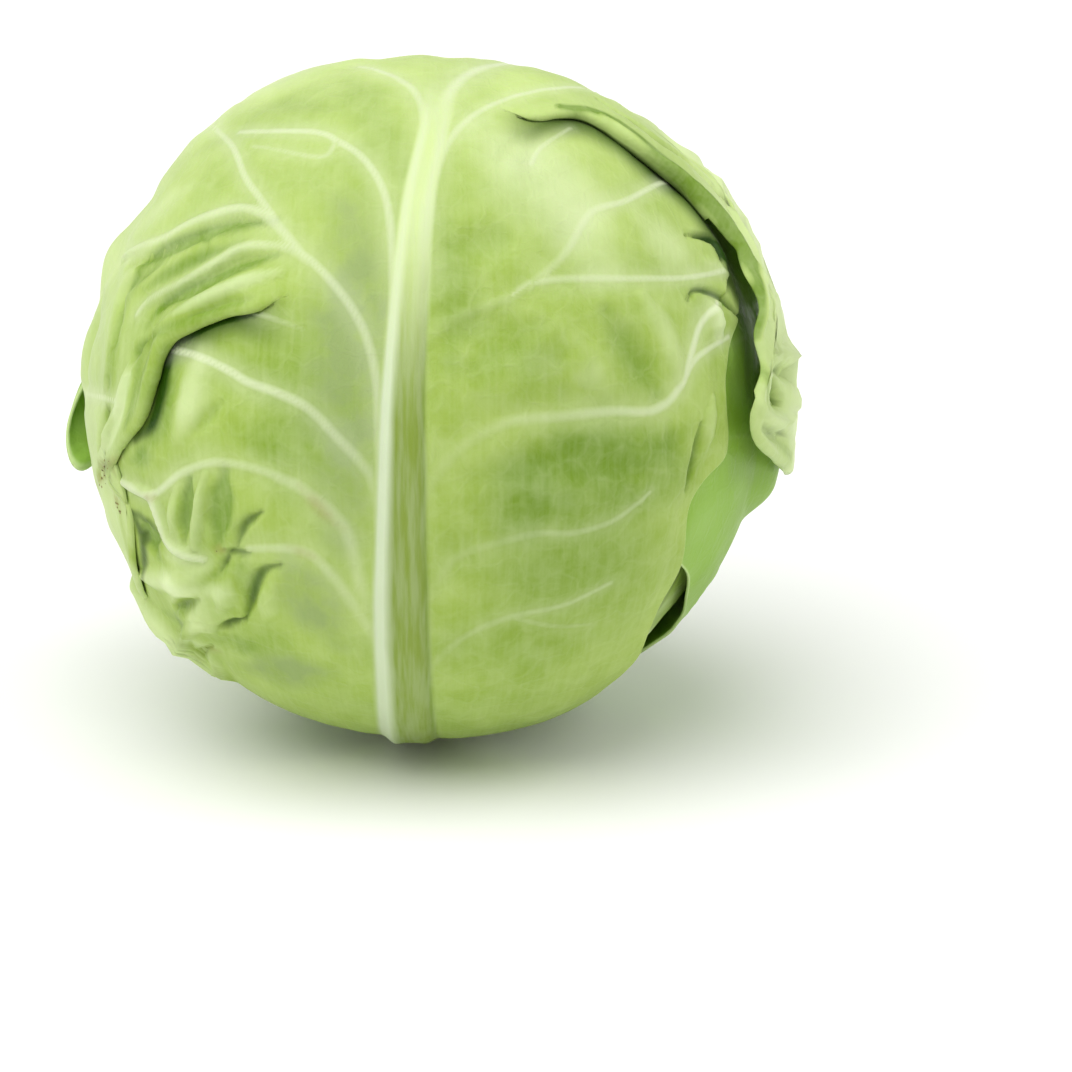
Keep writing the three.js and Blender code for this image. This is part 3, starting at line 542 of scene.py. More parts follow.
def chart_from_picture(px, py, proud=0.0):
    """Chart degrees of a point in the picture, for a surface standing proud by some millimetres."""
    radius = PICTURE_RADIUS * (1 + proud / HEAD_RADIUS)
    across = (px - PICTURE_CENTRE[0]) / radius
    up = (PICTURE_CENTRE[1] - py) / radius
    reach = max(math.hypot(across, up), 1e-9)
    scale = math.degrees(math.asin(min(reach, 1.0))) / reach
    return across * scale, up * scale


def charted(path, proud=0.0):
    return np.array([chart_from_picture(px, py, proud) for px, py in path])


def direction(chart, azimuth):
    """Unit directions from the head centre for chart degrees of a leaf at some azimuth."""
    x, y = chart[..., 0], chart[..., 1]
    reach = np.maximum(np.hypot(x, y), 1e-9)
    side = np.sin(np.radians(reach))
    tilt = math.radians(CHART_LATITUDE)
    east, north, out = side * x / reach, side * y / reach, np.cos(np.radians(reach))
    back = -out * math.cos(tilt) + north * math.sin(tilt)
    high = out * math.sin(tilt) + north * math.cos(tilt)
    turn = math.radians(azimuth)
    return np.stack([east * math.cos(turn) - back * math.sin(turn),
                     east * math.sin(turn) + back * math.cos(turn), high], axis=-1)


def chart_of(ways, azimuth):
    """Chart degrees of unit directions on the chart of a leaf at some azimuth."""
    turn = math.radians(-azimuth)
    east = ways[..., 0] * math.cos(turn) - ways[..., 1] * math.sin(turn)
    back = ways[..., 0] * math.sin(turn) + ways[..., 1] * math.cos(turn)
    tilt = math.radians(CHART_LATITUDE)
    out = -back * math.cos(tilt) + ways[..., 2] * math.sin(tilt)
    north = back * math.sin(tilt) + ways[..., 2] * math.cos(tilt)
    side = np.maximum(np.hypot(east, north), 1e-9)
    reach = np.degrees(np.arccos(np.clip(out, -1, 1)))
    return np.stack([reach * east / side, reach * north / side], axis=-1)


def shell_radius(ways, depth):
    """Head radius along directions: round, drawn in around the stalk."""
    from_stalk = np.degrees(np.arccos(np.clip(-ways[..., 2], -1, 1)))
    return (HEAD_RADIUS - depth) * (1 - DIMPLE_SHARE * np.exp(-(from_stalk / DIMPLE_SPREAD) ** 2))


def line_distance(chart, path):
    """Distance in millimetres to a path, and how far along the path the nearest point lies, 0 to 1."""
    nearest = np.full(chart.shape[:-1], np.inf)
    along = np.zeros(chart.shape[:-1])
    lengths = np.hypot(*np.diff(path, axis=0).T)
    total = lengths.sum()
    done = 0.0
    for (ax, ay), (bx, by), length in zip(path[:-1], path[1:], lengths):
        t = ((chart[..., 0] - ax) * (bx - ax) + (chart[..., 1] - ay) * (by - ay)) / length ** 2
        t = np.clip(t, 0, 1)
        gap = np.hypot(chart[..., 0] - mix(ax, bx, t), chart[..., 1] - mix(ay, by, t))
        closer = gap < nearest
        nearest = np.where(closer, gap, nearest)
        along = np.where(closer, (done + t * length) / total, along)
        done += length
    return nearest * MM_PER_DEG, along


def rounded(path, steps=6):
    """Path with its corners rounded by a smooth curve through its points."""
    spots = np.arange(len(path), dtype=float)
    fine = np.linspace(0, len(path) - 1, (len(path) - 1) * steps + 1)
    return np.stack([curve(list(zip(spots, path[:, k])), fine) for k in (0, 1)], axis=-1)


def stroke_sum(chart, strokes, proud=0.0):
    """Sum of the heights of many strokes on a surface standing proud."""
    total = np.zeros(chart.shape[:-1])
    for stroke in strokes:
        path = rounded(charted(stroke.path, proud), 3)
        distance, along = line_distance(chart, path)
        taper = mix(0.5, 1.0, smooth(np.minimum(along, 1 - along) / 0.35))
        share = np.clip(distance / (stroke.half * taper), 0, 1)
        total += stroke.height * taper * (1 - share ** 2) ** 2
    return total


def vein_fields(chart, veins, lobe=None):
    """Nearest vein: distance in half widths, height and paleness fields, and distance in millimetres."""
    lobe = np.zeros(chart.shape[:-1]) if lobe is None else lobe
    nearest = np.full(chart.shape[:-1], FAR)
    height = np.zeros(chart.shape[:-1])
    pale = np.zeros(chart.shape[:-1])
    clear = np.full(chart.shape[:-1], 40.0)
    for path, vein in veins:
        distance, along = line_distance(chart, path)
        distance = np.where(vein.lobe * lobe < -0.3, 99.0, distance)
        half = mix(vein.start, vein.end, along)
        share = distance / half
        closer = share < nearest
        pale = np.where(closer, mix(vein.pale, vein.pale_end, smooth(along)), pale)
        nearest = np.minimum(nearest, share)
        rise = vein.height * mix(1.0, 0.55, along) * smooth(along / 0.08)
        body = rise * (0.7 * np.clip(1 - (share / 1.7) ** 2, 0, 1) ** 2 + 0.4 * np.exp(-(share / 2.8) ** 2))
        height = np.maximum(height, body)
        clear = np.minimum(clear, distance)
    return nearest, height, pale, clear


def wobble(points, size, seed):
    """Smooth noise from -1 to 1 over points in millimetres, with features of a given size."""
    flat = points.reshape(-1, 3) / size + seed * 17.31
    values = np.fromiter((noise.noise(Vector(p)) for p in flat), float, len(flat))
    return values.reshape(points.shape[:-1])


# Leaf layout

def layout(leaf, width, step, row, side):
    """Chart points of steps across a leaf on one row."""
    sway = EDGE_WAVE * np.sin(row * EDGE_WAVE_RATE + leaf.azimuth)
    near_edge = smooth((step - EDGE_WAVE_START) / (1 - EDGE_WAVE_START))
    wave = sway * near_edge * smooth((row - EDGE_WAVE_ROW) / EDGE_WAVE_FADE)
    half = curve(width, row)
    power = np.maximum(np.minimum(FULL_WIDTH / half, WIDEST_BUNCHING), 1)
    x = half * (1 - (1 - step) ** power) + wave
    return np.stack([side * x, row - curve(leaf.sag, row) * x * x], axis=-1)


def openness(ways, covers):
    """How far directions lie outside the outlines of the leaves above, 0 covered to 1 open."""
    clear = np.ones(ways.shape[:-1])
    for leaf in covers:
        chart = chart_of(ways, leaf.azimuth)
        x, y = chart[..., 0], chart[..., 1]
        row = y.copy()
        for _ in range(4):
            row = y + curve(leaf.sag, row) * x * x
        width = np.where(x < 0, curve(leaf.cover[0], row), curve(leaf.cover[1], row))
        beyond = np.maximum.reduce([np.abs(x) - width, BASE_ROW - row, row - TIP_ROW])
        clear = np.minimum(clear, smooth((beyond - COVER_MARGIN) / COVER_FADE))
    return clear


def rim_point(pleat, step, side):
    proud = [RIM_HEIGHT_SHARE * float(curve(pleat.lift, at)) for at, _, _ in pleat.rim]
    spots = [(at, *chart_from_picture(px, py, high)) for (at, px, py), high in zip(pleat.rim, proud)]
    x = curve([(at, side * cx) for at, cx, _ in spots], step)
    y = curve([(at, cy) for at, _, cy in spots], step)
    return np.stack([x, y], axis=-1)


def rim_normal(pleat, step, side):
    """Way across the rim, from the lower lobe to the upper one."""
    after = rim_point(pleat, np.minimum(step + RIM_PROBE, 1), side)
    run = after - rim_point(pleat, np.maximum(step - RIM_PROBE, 0), side)
    length = np.hypot(run[..., 0], run[..., 1])
    return np.stack([-run[..., 1] / length, run[..., 0] / length], axis=-1)


def pleat_section(pleat, step, index):
    """Section through the folded pleat: distance past the rim and height."""
    lift = curve(pleat.lift, step)
    low = BEND_RADIUS
    roll = np.clip((lift + LOWER_DIP - 2 * low) / 2, BEND_RADIUS, MAX_ROLL)
    full = 2 * low + 2 * roll - LOWER_DIP
    top = np.where(step > pleat.slit, lift, np.minimum(lift, full))
    deep = pleat.tuck - low
    past = [deep, deep + 0.75 * low, pleat.tuck, deep + 0.75 * low, deep, roll, 0.25 * roll, 0 * roll,
            0.25 * roll, roll]
    height = [0, 0.35 * low, low, 1.65 * low, 2 * low, 2 * low, 2 * low + 0.35 * roll, 2 * low + roll,
              2 * low + 1.65 * roll, 2 * low + 2 * roll]
    fields = []
    for values in (past, height):
        stack = np.stack([np.broadcast_to(np.asarray(v, float), step.shape) for v in values])
        fields.append(section_at(stack, index))
    settle = (top - full) * smooth((index - 4) / 3)
    return fields[0], fields[1] - LOWER_DIP + settle


def section_at(stack, index):
    """Smooth value between the ten marks of a section."""
    i = min(int(index), PLEAT_SPAN - 1)
    t = index - i
    p0, p1 = stack[max(i - 1, 0)], stack[i]
    p2, p3 = stack[i + 1], stack[min(i + 2, PLEAT_SPAN)]
    start, end = (p2 - p0) / 2, (p3 - p1) / 2
    if i == 4:
        start, end = 0 * start, 0 * end
    if i == 3:
        end = 0 * end
    if i == 5:
        start = 0 * start
    return cubic(p1, p2, start, end, t)


def fold_strength(pleat, step):
    return smooth((step - pleat.start + FOLD_LEAD) / FOLD_FADE)


def pleat_point(leaf, side_index, step, index):
    """Chart points and heights of a pleat row, on the right half's own signs."""
    pleat = leaf.pleats[side_index]
    side = (-1, 1)[side_index]
    before = layout(leaf, leaf.lower[side_index], step, pleat.row - PLEAT_BAND, 1)
    after = layout(leaf, leaf.upper[side_index], step, pleat.row + PLEAT_BAND, 1)
    flat = mix(before, after, index / PLEAT_SPAN)
    past, height = pleat_section(pleat, step, index)
    normal = rim_normal(pleat, step, side)
    folded = rim_point(pleat, step, side) + normal * (past / MM_PER_DEG)[..., None]
    strength = fold_strength(pleat, step)
    free = smooth((step - pleat.slit) / 0.25) if index == 0 else 0 * step
    at = mix(mix(flat, folded, strength[..., None]), before, free[..., None])
    return at, height * strength


def lower_dip(pleat, step, row):
    """How far the lower lobe sinks under the rim and under the loose margin."""
    near_rim = smooth((row - pleat.row + DIP_ROWS) / DIP_FADE)
    sheltered = smooth((step - SHELTER_STEP) / SHELTER_STEP_FADE)
    under_flap = sheltered * smooth((row - SHELTER_ROW) / SHELTER_ROW_FADE)
    return -LOWER_DIP * np.maximum(fold_strength(pleat, step) * near_rim, under_flap)


def front_line(leaf, side_index, step, row, fold):
    """Chart points, heights and relief share of one row of the front leaf."""
    pleat = leaf.pleats[side_index]
    if fold is not None and fold[0] == side_index:
        at, height = pleat_point(leaf, side_index, step, fold[1])
        return at, height, 1 - fold_strength(pleat, step)
    above = row > pleat.row
    edge_row = pleat.row + (PLEAT_BAND if above else -PLEAT_BAND)
    width = leaf.upper[side_index] if above else leaf.lower[side_index]
    plain = layout(leaf, width, step, row, 1)
    edge = layout(leaf, width, step, edge_row, 1)
    anchor, anchor_height = pleat_point(leaf, side_index, step, PLEAT_SPAN if above else 0)
    away = abs(row - edge_row)
    at = plain + (anchor - edge) * (1 - smooth(away / pleat.blend_rows))
    height = anchor_height * (1 - smooth(away / pleat.lift_rows)) if above else lower_dip(pleat, step, row)
    share = 1 - fold_strength(pleat, step) * (1 - smooth(away / QUIET_ROWS))
    return at, height, share


def wave_of(step, row, phase):
    wave = 0.5 + 0.5 * np.sin(row / WAVE_PITCH * 2 * math.pi + phase)
    near_edge = smooth((step - WAVE_START) / (1 - WAVE_START))
    return WAVE_LIFT * wave * near_edge * smooth((row - WAVE_ROW) / WAVE_FADE)


def thirds(start, end, size):
    """Grid lines from start to end, in a number of steps that divides by the inner stride."""
    count = max(INNER_STRIDE, INNER_STRIDE * round(abs(end - start) / size / INNER_STRIDE))
    return np.linspace(start, end, count + 1)


def joined(*runs):
    return np.concatenate([runs[0]] + [run[1:] for run in runs[1:]])


def front_rows():
    """Rows of the front leaf with the fold that each belongs to: (row, None or (side, index))."""
    low, mid = LEFT_PLEAT.row, RIGHT_PLEAT.row
    base = thirds(BASE_ROW, FINE_ROWS[0], FRONT_WIDE)
    lower = joined(base, thirds(FINE_ROWS[0], low - PLEAT_BAND, FRONT_FINE))
    rows = [(row, None) for row in lower[:-1]] + fold_rows(0, low)
    rows = rows[:-1] + [(row, None) for row in thirds(low + PLEAT_BAND, mid - PLEAT_BAND, FRONT_FINE)]
    rows = rows[:-1] + fold_rows(1, mid)
    tip = thirds(FINE_ROWS[1], TIP_ROW, FRONT_WIDE)
    upper = joined(thirds(mid + PLEAT_BAND, FINE_ROWS[1], FRONT_FINE), tip)
    return rows[:-1] + [(mid + PLEAT_BAND, (1, PLEAT_SPAN))] + [(row, None) for row in upper[1:]]


def fold_rows(side_index, centre):
    marks = np.linspace(0, PLEAT_SPAN, 3 * PLEAT_SPAN + 1)
    return [(centre + PLEAT_BAND * (2 * mark / PLEAT_SPAN - 1), (side_index, mark)) for mark in marks]


def side_steps(leaf, side_index):
    """Steps across one half, with a grid line on the slit."""
    slit = leaf.pleats[side_index].slit
    fine = FRONT_FINE / FULL_WIDTH
    return joined(thirds(0, slit, fine), thirds(slit, 1, FLAP_SPAN * fine))


FRONT_LEAF = Leaf(1, 0.0, LEAF_PITCH[0], FRONT_SAG, (FRONT_LOWER_LEFT, FRONT_LOWER_RIGHT),
                  (FRONT_UPPER_LEFT, FRONT_UPPER_RIGHT), (LEFT_PLEAT, RIGHT_PLEAT),
                  (WRAP_WIDTH, WRAP_WIDTH), ())


def wrap_leaf(number, azimuth, right, covers):
    return Leaf(number, azimuth, LEAF_PITCH[number - 1], WRAP_SAG, None, (WRAP_WIDTH, right), None,
                (WRAP_WIDTH, right), covers)


LEAF_TWO = wrap_leaf(2, 137.5, BACK_RIGHT, (FRONT_LEAF,))
LEAF_THREE = wrap_leaf(3, 275.0, WRAP_WIDTH, (FRONT_LEAF, LEAF_TWO))
LEAF_FOUR = wrap_leaf(4, 52.5, WRAP_WIDTH, (FRONT_LEAF, LEAF_TWO, LEAF_THREE))
LEAF_FIVE = wrap_leaf(5, 190.0, WRAP_WIDTH, (FRONT_LEAF, LEAF_TWO, LEAF_THREE, LEAF_FOUR))


# Surface fields

def midrib_share(chart, row, centre):
    """Signed place across the midrib in half widths."""
    return (chart[..., 0] - centre) * MM_PER_DEG / curve(RIB_HALF_WIDTH, row)


def midrib_height(share, row, sizes):
    """Rounded rib with a raised strand on its left and a low crest on its right edge."""
    body = np.clip(1 - np.abs(share) ** 3.2, 0, 1) ** 1.6
    strand, crest = (height * np.exp(-((share - place) / width) ** 2)
                     for height, place, width in (RIB_STRAND, RIB_CREST))
    return curve(RIB_HEIGHT, row) * sizes.rib_height * (RIB_BODY * body + strand + crest)


def front_fields(sizes):
    """Middle surface, rib thickness and colour fields of the front leaf."""
    leaf = FRONT_LEAF
    rows = front_rows()
    steps = [side_steps(leaf, side_index) for side_index in (0, 1)]
    grids = {"chart": [], "height": [], "share": [], "row": [], "step": [], "upper": [], "lobe": []}
    for row, fold in rows:
        halves = []
        for side_index, side in ((0, -1), (1, 1)):
            step = steps[side_index]
            at, height, share = front_line(leaf, side_index, step, row, fold)
            pleat = leaf.pleats[side_index]
            height = height + wave_of(step, row, 0.8 + side) * smooth((row - pleat.wave_from) / 18)
            upper = np.full(step.shape, float(row > pleat.row))
            if fold is not None and fold[0] == side_index:
                upper = np.full(step.shape, float(smooth((fold[1] - 5) / 2)))
            lobe = (2 * upper - 1) * fold_strength(pleat, step)
            halves.append((at * (side, 1), height, share, np.full(step.shape, row), step, upper, lobe))
        for key, left, right in zip(grids, *halves):
            grids[key].append(np.concatenate([left[::-1], right[1:]]))
    fields = {key: np.array(value) for key, value in grids.items()}
    fields["lines"] = rows
    fields["steps"] = steps
    add_front_relief(fields, sizes)
    return fields


def add_front_relief(fields, sizes):
    """Heights of the front leaf's ribs, veins, swells and curls."""
    chart, row, share, upper = fields["chart"], fields["row"], fields["share"], fields["upper"]
    below = 1 - smooth(np.maximum(fields["lobe"], 0) * LOBE_EDGE)
    above = 1 - smooth(np.maximum(-fields["lobe"], 0) * LOBE_EDGE)
    veins = [(rounded(charted(vein.path)), vein) for vein in FRONT_VEINS]
    nearest, vein_height, pale, clear = vein_fields(chart, veins, fields["lobe"])
    midrib = sorted((y, x) for x, y in charted(FRONT_MIDRIB))
    across = midrib_share(chart, row, curve(midrib, chart[..., 1]))
    ending = smooth((chart[..., 1] - MIDRIB_END[0]) / (MIDRIB_END[1] - MIDRIB_END[0]))
    rib = (1 - 0.8 * ending) * midrib_height(across, row, sizes)
    rib = np.maximum(rib, vein_height * sizes.vein_height)
    ways = direction(chart, 0)
    places = ways * (shell_radius(ways, 0)[..., None] + 3 * upper[..., None])
    pillow = sizes.pillow * (smooth(np.minimum(clear, np.abs(across) * 5) / PILLOW_REACH) - 0.5)
    ripple = 0.4 * wobble(places, 17, 1) + 0.18 * wobble(places, 6.5, 2)
    loose = smooth((np.abs(chart[..., 0]) - LOOSE_FROM) / LOOSE_FADE) * upper
    relief = below * stroke_sum(chart, LOWER_RELIEF) + above * stroke_sum(chart, UPPER_RELIEF)
    flap = (1 - below) * (stroke_sum(chart, FLAP_RELIEF, FLAP_PROUD) + 0.8 * loose * wobble(places, 11, 3))
    body = RELIEF_GAIN * relief * sizes.crease_depth + pillow + ripple
    floor = RELIEF_FLOOR - LOOSE_FLOOR * loose + FLOOR_SOFTNESS
    sunk = floor - FLOOR_SOFTNESS + FLOOR_SOFTNESS * np.exp(np.minimum(body - floor, 0) / FLOOR_SOFTNESS)
    body = np.where(body < floor, sunk, body)
    seen = np.maximum(share, upper)
    fields["height"] = fields["height"] + seen * (body + FLAP_GAIN * flap * sizes.crease_depth)
    fields["rib"] = share * rib + (1 - share) * QUIET_RIB
    fields["ways"] = ways
    fields["vein"] = np.where(seen > 0.5, nearest, FAR)
    fields["pale"] = pale
    fields["across"] = np.clip(across, -4, 4)
    fields["ribbed"] = 1 - ending
    # Painted shade and light from the relief, sunk places deeper and raised ones paler; the loose flap's own
    # paler colour
    relief_shade_and_flap_pale = np.clip(0.38 * relief + 0.2 * flap, -0.8, 0.8) + FLAP_PALE * loose
    add_front_marks(fields, below, above, relief_shade_and_flap_pale)


def add_front_marks(fields, below, above, relief_shade_and_flap_pale):
    """Deeper and paler places of the front leaf, mostly painted shade and light, painted shade in its
    creases, its bloom and stains.
    """
    chart = fields["chart"]
    flap_shade = (1 - below) * stroke_sum(chart, FLAP_SHADE, FLAP_PROUD)
    fields["shade"] = (below * stroke_sum(chart, CREASE_SHADE) + above * stroke_sum(chart, UPPER_SHADE)
                       + flap_shade + fold_shade(fields))
    flap_tone = (1 - below) * stroke_sum(chart, FLAP_TONE_AND_SHADE, FLAP_PROUD)
    fields["tone"] = stroke_sum(chart, TONE_AND_SHADE_PLACES) + flap_tone - relief_shade_and_flap_pale
    for key, places in (("bloom", BLOOM_PLACES), ("cork", CORK_PLACES), ("rust", RUST_PLACES)):
        fields[key] = np.clip(stroke_sum(chart, places), 0, 1)


def fold_shade(fields):
    """Painted shade: deeper green where the lower lobes run under the folded rims."""
    shade = np.zeros(fields["row"].shape)
    middle = len(fields["steps"][0]) - 1
    for side_index, pleat in enumerate(FRONT_LEAF.pleats):
        half = slice(0, middle + 1) if side_index == 0 else slice(middle, None)
        row, step = fields["row"][:, half], fields["step"][:, half]
        under = FOLD_SHADE * smooth((row - pleat.row + FOLD_SHADE_ROWS) / FOLD_SHADE_FADE)
        under = under * (row < pleat.row + 1.0)
        shade[:, half] = np.maximum(shade[:, half], under * fold_strength(pleat, step))
    return shade


def wrap_fields(leaf, size, sizes):
    """Middle surface, rib thickness and colour fields of a leaf behind."""
    rows = thirds(BASE_ROW, TIP_ROW, size)
    steps = thirds(0, 1, size / FULL_WIDTH)
    lines, heights, flares = [], [], []
    for row in rows:
        halves = [layout(leaf, leaf.upper[k], steps, row, (-1, 1)[k]) for k in (0, 1)]
        lines.append(np.concatenate([halves[0][::-1], halves[1][1:]]))
        flare = FLARE_LIFT * math.exp(-((row - FLARE_ROW) / FLARE_SPREAD) ** 2) if leaf.number == 2 else 0.0
        turned_up = flare * smooth((steps - FLARE_START) / (1 - FLARE_START))
        wave = wave_of(steps, row, leaf.azimuth)
        heights.append(np.concatenate([wave[::-1], wave[1:]]))
        flares.append(np.concatenate([0 * steps, turned_up[1:]]))
    chart = np.array(lines)
    fields = {"chart": chart, "row": np.broadcast_to(rows[:, None], chart.shape[:2]),
              "step": np.tile(np.concatenate([steps[::-1], steps[1:]]), (len(rows), 1)),
              "lines": [(row, None) for row in rows], "steps": [steps, steps]}
    add_wrap_relief(leaf, fields, np.array(heights), np.array(flares), sizes)
    return fields


def wrap_veins(leaf):
    """Side veins of a leaf behind, sprung from the midrib on both sides, each with one fork."""
    veins = []
    t = np.linspace(0, 1, 9)
    for side, width in zip((-1, 1), leaf.upper):
        widest = max(half for _, half in width)
        for k in range(SIDE_VEINS):
            foot = FIRST_FOOT + FOOT_PITCH * k + 5 * math.sin(2.1 * k + side + leaf.azimuth)
            reach = SIDE_REACH * widest - 5 * k
            rise = (SIDE_RISE + 8 * math.sin(1.7 * k + leaf.azimuth)) * t ** 0.8 + SIDE_CURL * t ** 3
            bend = 3.5 * np.sin(2.6 * t * math.pi + k + side)
            path = np.stack([side * reach * t, foot + rise + bend * t], axis=-1)
            veins.append((path, SIDE_VEIN))
            for mark, length in FORKS:
                x, y = path[mark]
                fork = np.stack([x + side * length * t, y + length * FORK_RISE * t ** 0.8], axis=-1)
                veins.append((fork, FORK_VEIN))
    return veins


def under_flap(ways):
    """Swell of the leaf that carries the loose flap, and the painted shade, deep green, of the gap between
    them.
    """
    chart = chart_of(ways, 0)
    bulge = np.zeros(chart.shape[:-1])
    for path, height, half in FLAP_BULGES:
        distance, _ = line_distance(chart, np.array(path, float))
        bulge = np.maximum(bulge, height * (1 - np.clip(distance / half, 0, 1) ** 2) ** 2)
    return bulge, stroke_sum(chart, GAP_SHADE)


def add_wrap_relief(leaf, fields, heights, flares, sizes):
    """Heights and colour fields of a leaf behind."""
    chart, row = fields["chart"], fields["row"]
    ways = direction(chart, leaf.azimuth)
    clear_sky = openness(ways, leaf.covers)
    nearest, vein_height, pale, clear = vein_fields(chart, wrap_veins(leaf))
    sway = 2.2 * np.sin(row * 0.035 + leaf.azimuth)
    across = midrib_share(chart, row, sway * smooth((row + 80) / 40))
    rib = midrib_height(across, row, sizes) * (0.15 + 0.85 * clear_sky)
    rib = np.maximum(rib, vein_height * sizes.vein_height * clear_sky)
    places = ways * shell_radius(ways, leaf.depth)[..., None]
    pillow = sizes.pillow * smooth(np.minimum(clear, np.abs(across) * 5) / PILLOW_REACH)
    ripple = 0.8 * wobble(places, 21, leaf.number) + 0.35 * wobble(places, 8, leaf.number + 7)
    bulge, gap = under_flap(ways) if leaf.number == 2 else (0.0, 0.0)
    fields["height"] = np.maximum(heights * clear_sky, flares) + bulge + clear_sky * (pillow + ripple)
    fields["rib"] = rib
    fields["ways"] = ways
    fields["vein"] = nearest
    # Veins dimmed under the leaves above, as painted shade
    fields["pale"] = pale * (0.3 + 0.7 * clear_sky)
    fields["across"] = np.clip(across, -4, 4)
    fields["ribbed"] = np.ones(row.shape)
    # Painted shade under the leaves above and in the gap under the loose flap
    fields["shade"] = np.maximum(0.12 * (1 - clear_sky) * (1 - smooth(flares / 3)), gap)
    broad = 0.8 * wobble(places, 34, leaf.number + 20)
    small = 0.5 * wobble(places, 12, leaf.number + 30)
    fields["tone"] = broad + small - 0.25 * smooth(1 - clear / 7)
    fields["bloom"] = 0.15 * clear_sky
    fields["cork"] = fields["rust"] = np.zeros(row.shape)


# Blade mesh: fine outer face, coarser inner face, and a closing band

def dead_quads(fields, leaf):
    """Quads left out where the folded bands are cut free near both margins."""
    rows, columns = fields["row"].shape
    dead = np.zeros((rows - 1, columns - 1), bool)
    if leaf.pleats is None:
        return dead
    middle = len(fields["steps"][0]) - 1
    for side_index, pleat in enumerate(leaf.pleats):
        marks = [k for k, (_, fold) in enumerate(fields["lines"][:-1])
                 if fold is not None and fold[0] == side_index and fold[1] < RIM_STEP - 1e-6]
        steps = fields["steps"][side_index]
        first = int(np.argmin(np.abs(steps - pleat.slit)))
        columns_out = slice(0, middle - first) if side_index == 0 else slice(middle + first, None)
        for k in marks:
            dead[k, columns_out] = True
    return dead


def grid_normals(points, dead):
    diagonal = points[1:, 1:] - points[:-1, :-1]
    other = points[1:, :-1] - points[:-1, 1:]
    normal = np.cross(diagonal, other)
    normal /= np.maximum(np.linalg.norm(normal, axis=-1, keepdims=True), 1e-12)
    normal[dead] = 0
    total = np.zeros(points.shape)
    for rows in (slice(0, -1), slice(1, None)):
        for columns in (slice(0, -1), slice(1, None)):
            total[rows, columns] += normal
    return total / np.maximum(np.linalg.norm(total, axis=-1, keepdims=True), 1e-12)


def blade_faces(dead, rows, columns):
    """Outer quads, inner quads at a wider stride, and one closing face for each free inner edge."""
    index = np.arange(rows * columns).reshape(rows, columns)
    quads = np.stack([index[:-1, :-1], index[:-1, 1:], index[1:, 1:], index[1:, :-1]], axis=-1)[~dead]
    faces = quads.tolist()
    inner = rows * columns + index
    s = INNER_STRIDE
    coarse = ~dead[::s, ::s]
    padded = np.pad(coarse, 1)
    for r, c in zip(*np.nonzero(coarse)):
        a, b = r * s, c * s
        faces.append([inner[a, b], inner[a + s, b], inner[a + s, b + s], inner[a, b + s]])
        runs = (
            (padded[r, c + 1], [(a, b + k) for k in range(s + 1)]),
            (padded[r + 1, c + 2], [(a + k, b + s) for k in range(s + 1)]),
            (padded[r + 2, c + 1], [(a + s, b + s - k) for k in range(s + 1)]),
            (padded[r + 1, c], [(a + s - k, b) for k in range(s + 1)]),
        )
        for neighbour, run in runs:
            if not neighbour:
                outer_edge = [index[spot] for spot in reversed(run)]
                faces.append(outer_edge + [inner[run[0]], inner[run[-1]]])
    return faces


def blade_mesh(name, leaf, fields):
    """Closed blade as a mesh object at the origin, with its fields as attributes."""
    ways = fields["ways"]
    points = ways * (shell_radius(ways, leaf.depth) + fields["height"])[..., None]
    dead = dead_quads(fields, leaf)
    normals = grid_normals(points, dead)
    rows, columns = points.shape[:2]
    outer = points + normals * (LEAF_THICKNESS / 2 + fields["rib"])[..., None]
    inner = points - normals * LEAF_THICKNESS / 2
    spots = np.concatenate([outer.reshape(-1, 3), inner.reshape(-1, 3)])
    spots = (spots + (0, 0, HEAD_CENTRE_Z)) / 1000
    faces = blade_faces(dead, rows, columns)
    used = np.zeros(len(spots), bool)
    used[np.concatenate([np.asarray(face) for face in faces])] = True
    renumber = np.cumsum(used) - 1
    mesh = bpy.data.meshes.new(name)
    mesh.from_pydata(spots[used].tolist(), [], [renumber[face].tolist() for face in faces])
    mesh.polygons.foreach_set("use_smooth", np.ones(len(faces), bool))
    marks = {key: fields[key] for key in SKIN_FIELDS}
    marks["row"] = fields["row"] / 100
    marks["margin"] = (1 - fields["step"]) * FULL_WIDTH * MM_PER_DEG
    for key, values in marks.items():
        add_field(mesh, key, np.tile(np.reshape(values, -1), 2)[used])
    add_field(mesh, "inside", np.repeat((0.0, 1.0), rows * columns)[used])
    add_leaf_map(mesh, np.tile(fields["chart"].reshape(-1, 2), (2, 1))[used])
    mesh.validate()
    mesh.update()
    return placed(name, mesh)


def add_field(mesh, key, values):
    mesh.attributes.new(key, "FLOAT", "POINT").data.foreach_set("value", np.asarray(values, np.float32))


def placed(name, data):
    """New object of some data, linked to the scene."""
    obj = bpy.data.objects.new(name, data)
    bpy.context.scene.collection.objects.link(obj)
    return obj


def add_leaf_map(mesh, chart):
    """UV map that follows the leaf: across and along, in chart degrees over 250."""
    layer = mesh.uv_layers.new(name="leaf_map")
    corners = np.empty(len(mesh.loops), np.int32)
    mesh.loops.foreach_get("vertex_index", corners)
    layer.data.foreach_set("uv", (chart[corners] / 250 + 0.5).astype(np.float32).reshape(-1))


# Shader building

def linear(red, green, blue):
    """Scene colour of a display colour given in 0 to 255."""
    parts = []
    for value in (red, green, blue):
        v = value / 255
        parts.append(v / 12.92 if v <= 0.04045 else ((v + 0.055) / 1.055) ** 2.4)
    return tuple(parts)


def node(tree, kind, inputs=None, **settings):
    made = tree.nodes.new(kind)
    for key, value in settings.items():
        setattr(made, key, value)
    for key, value in (inputs or {}).items():
        plug(tree, made.inputs[key], value)
    return made


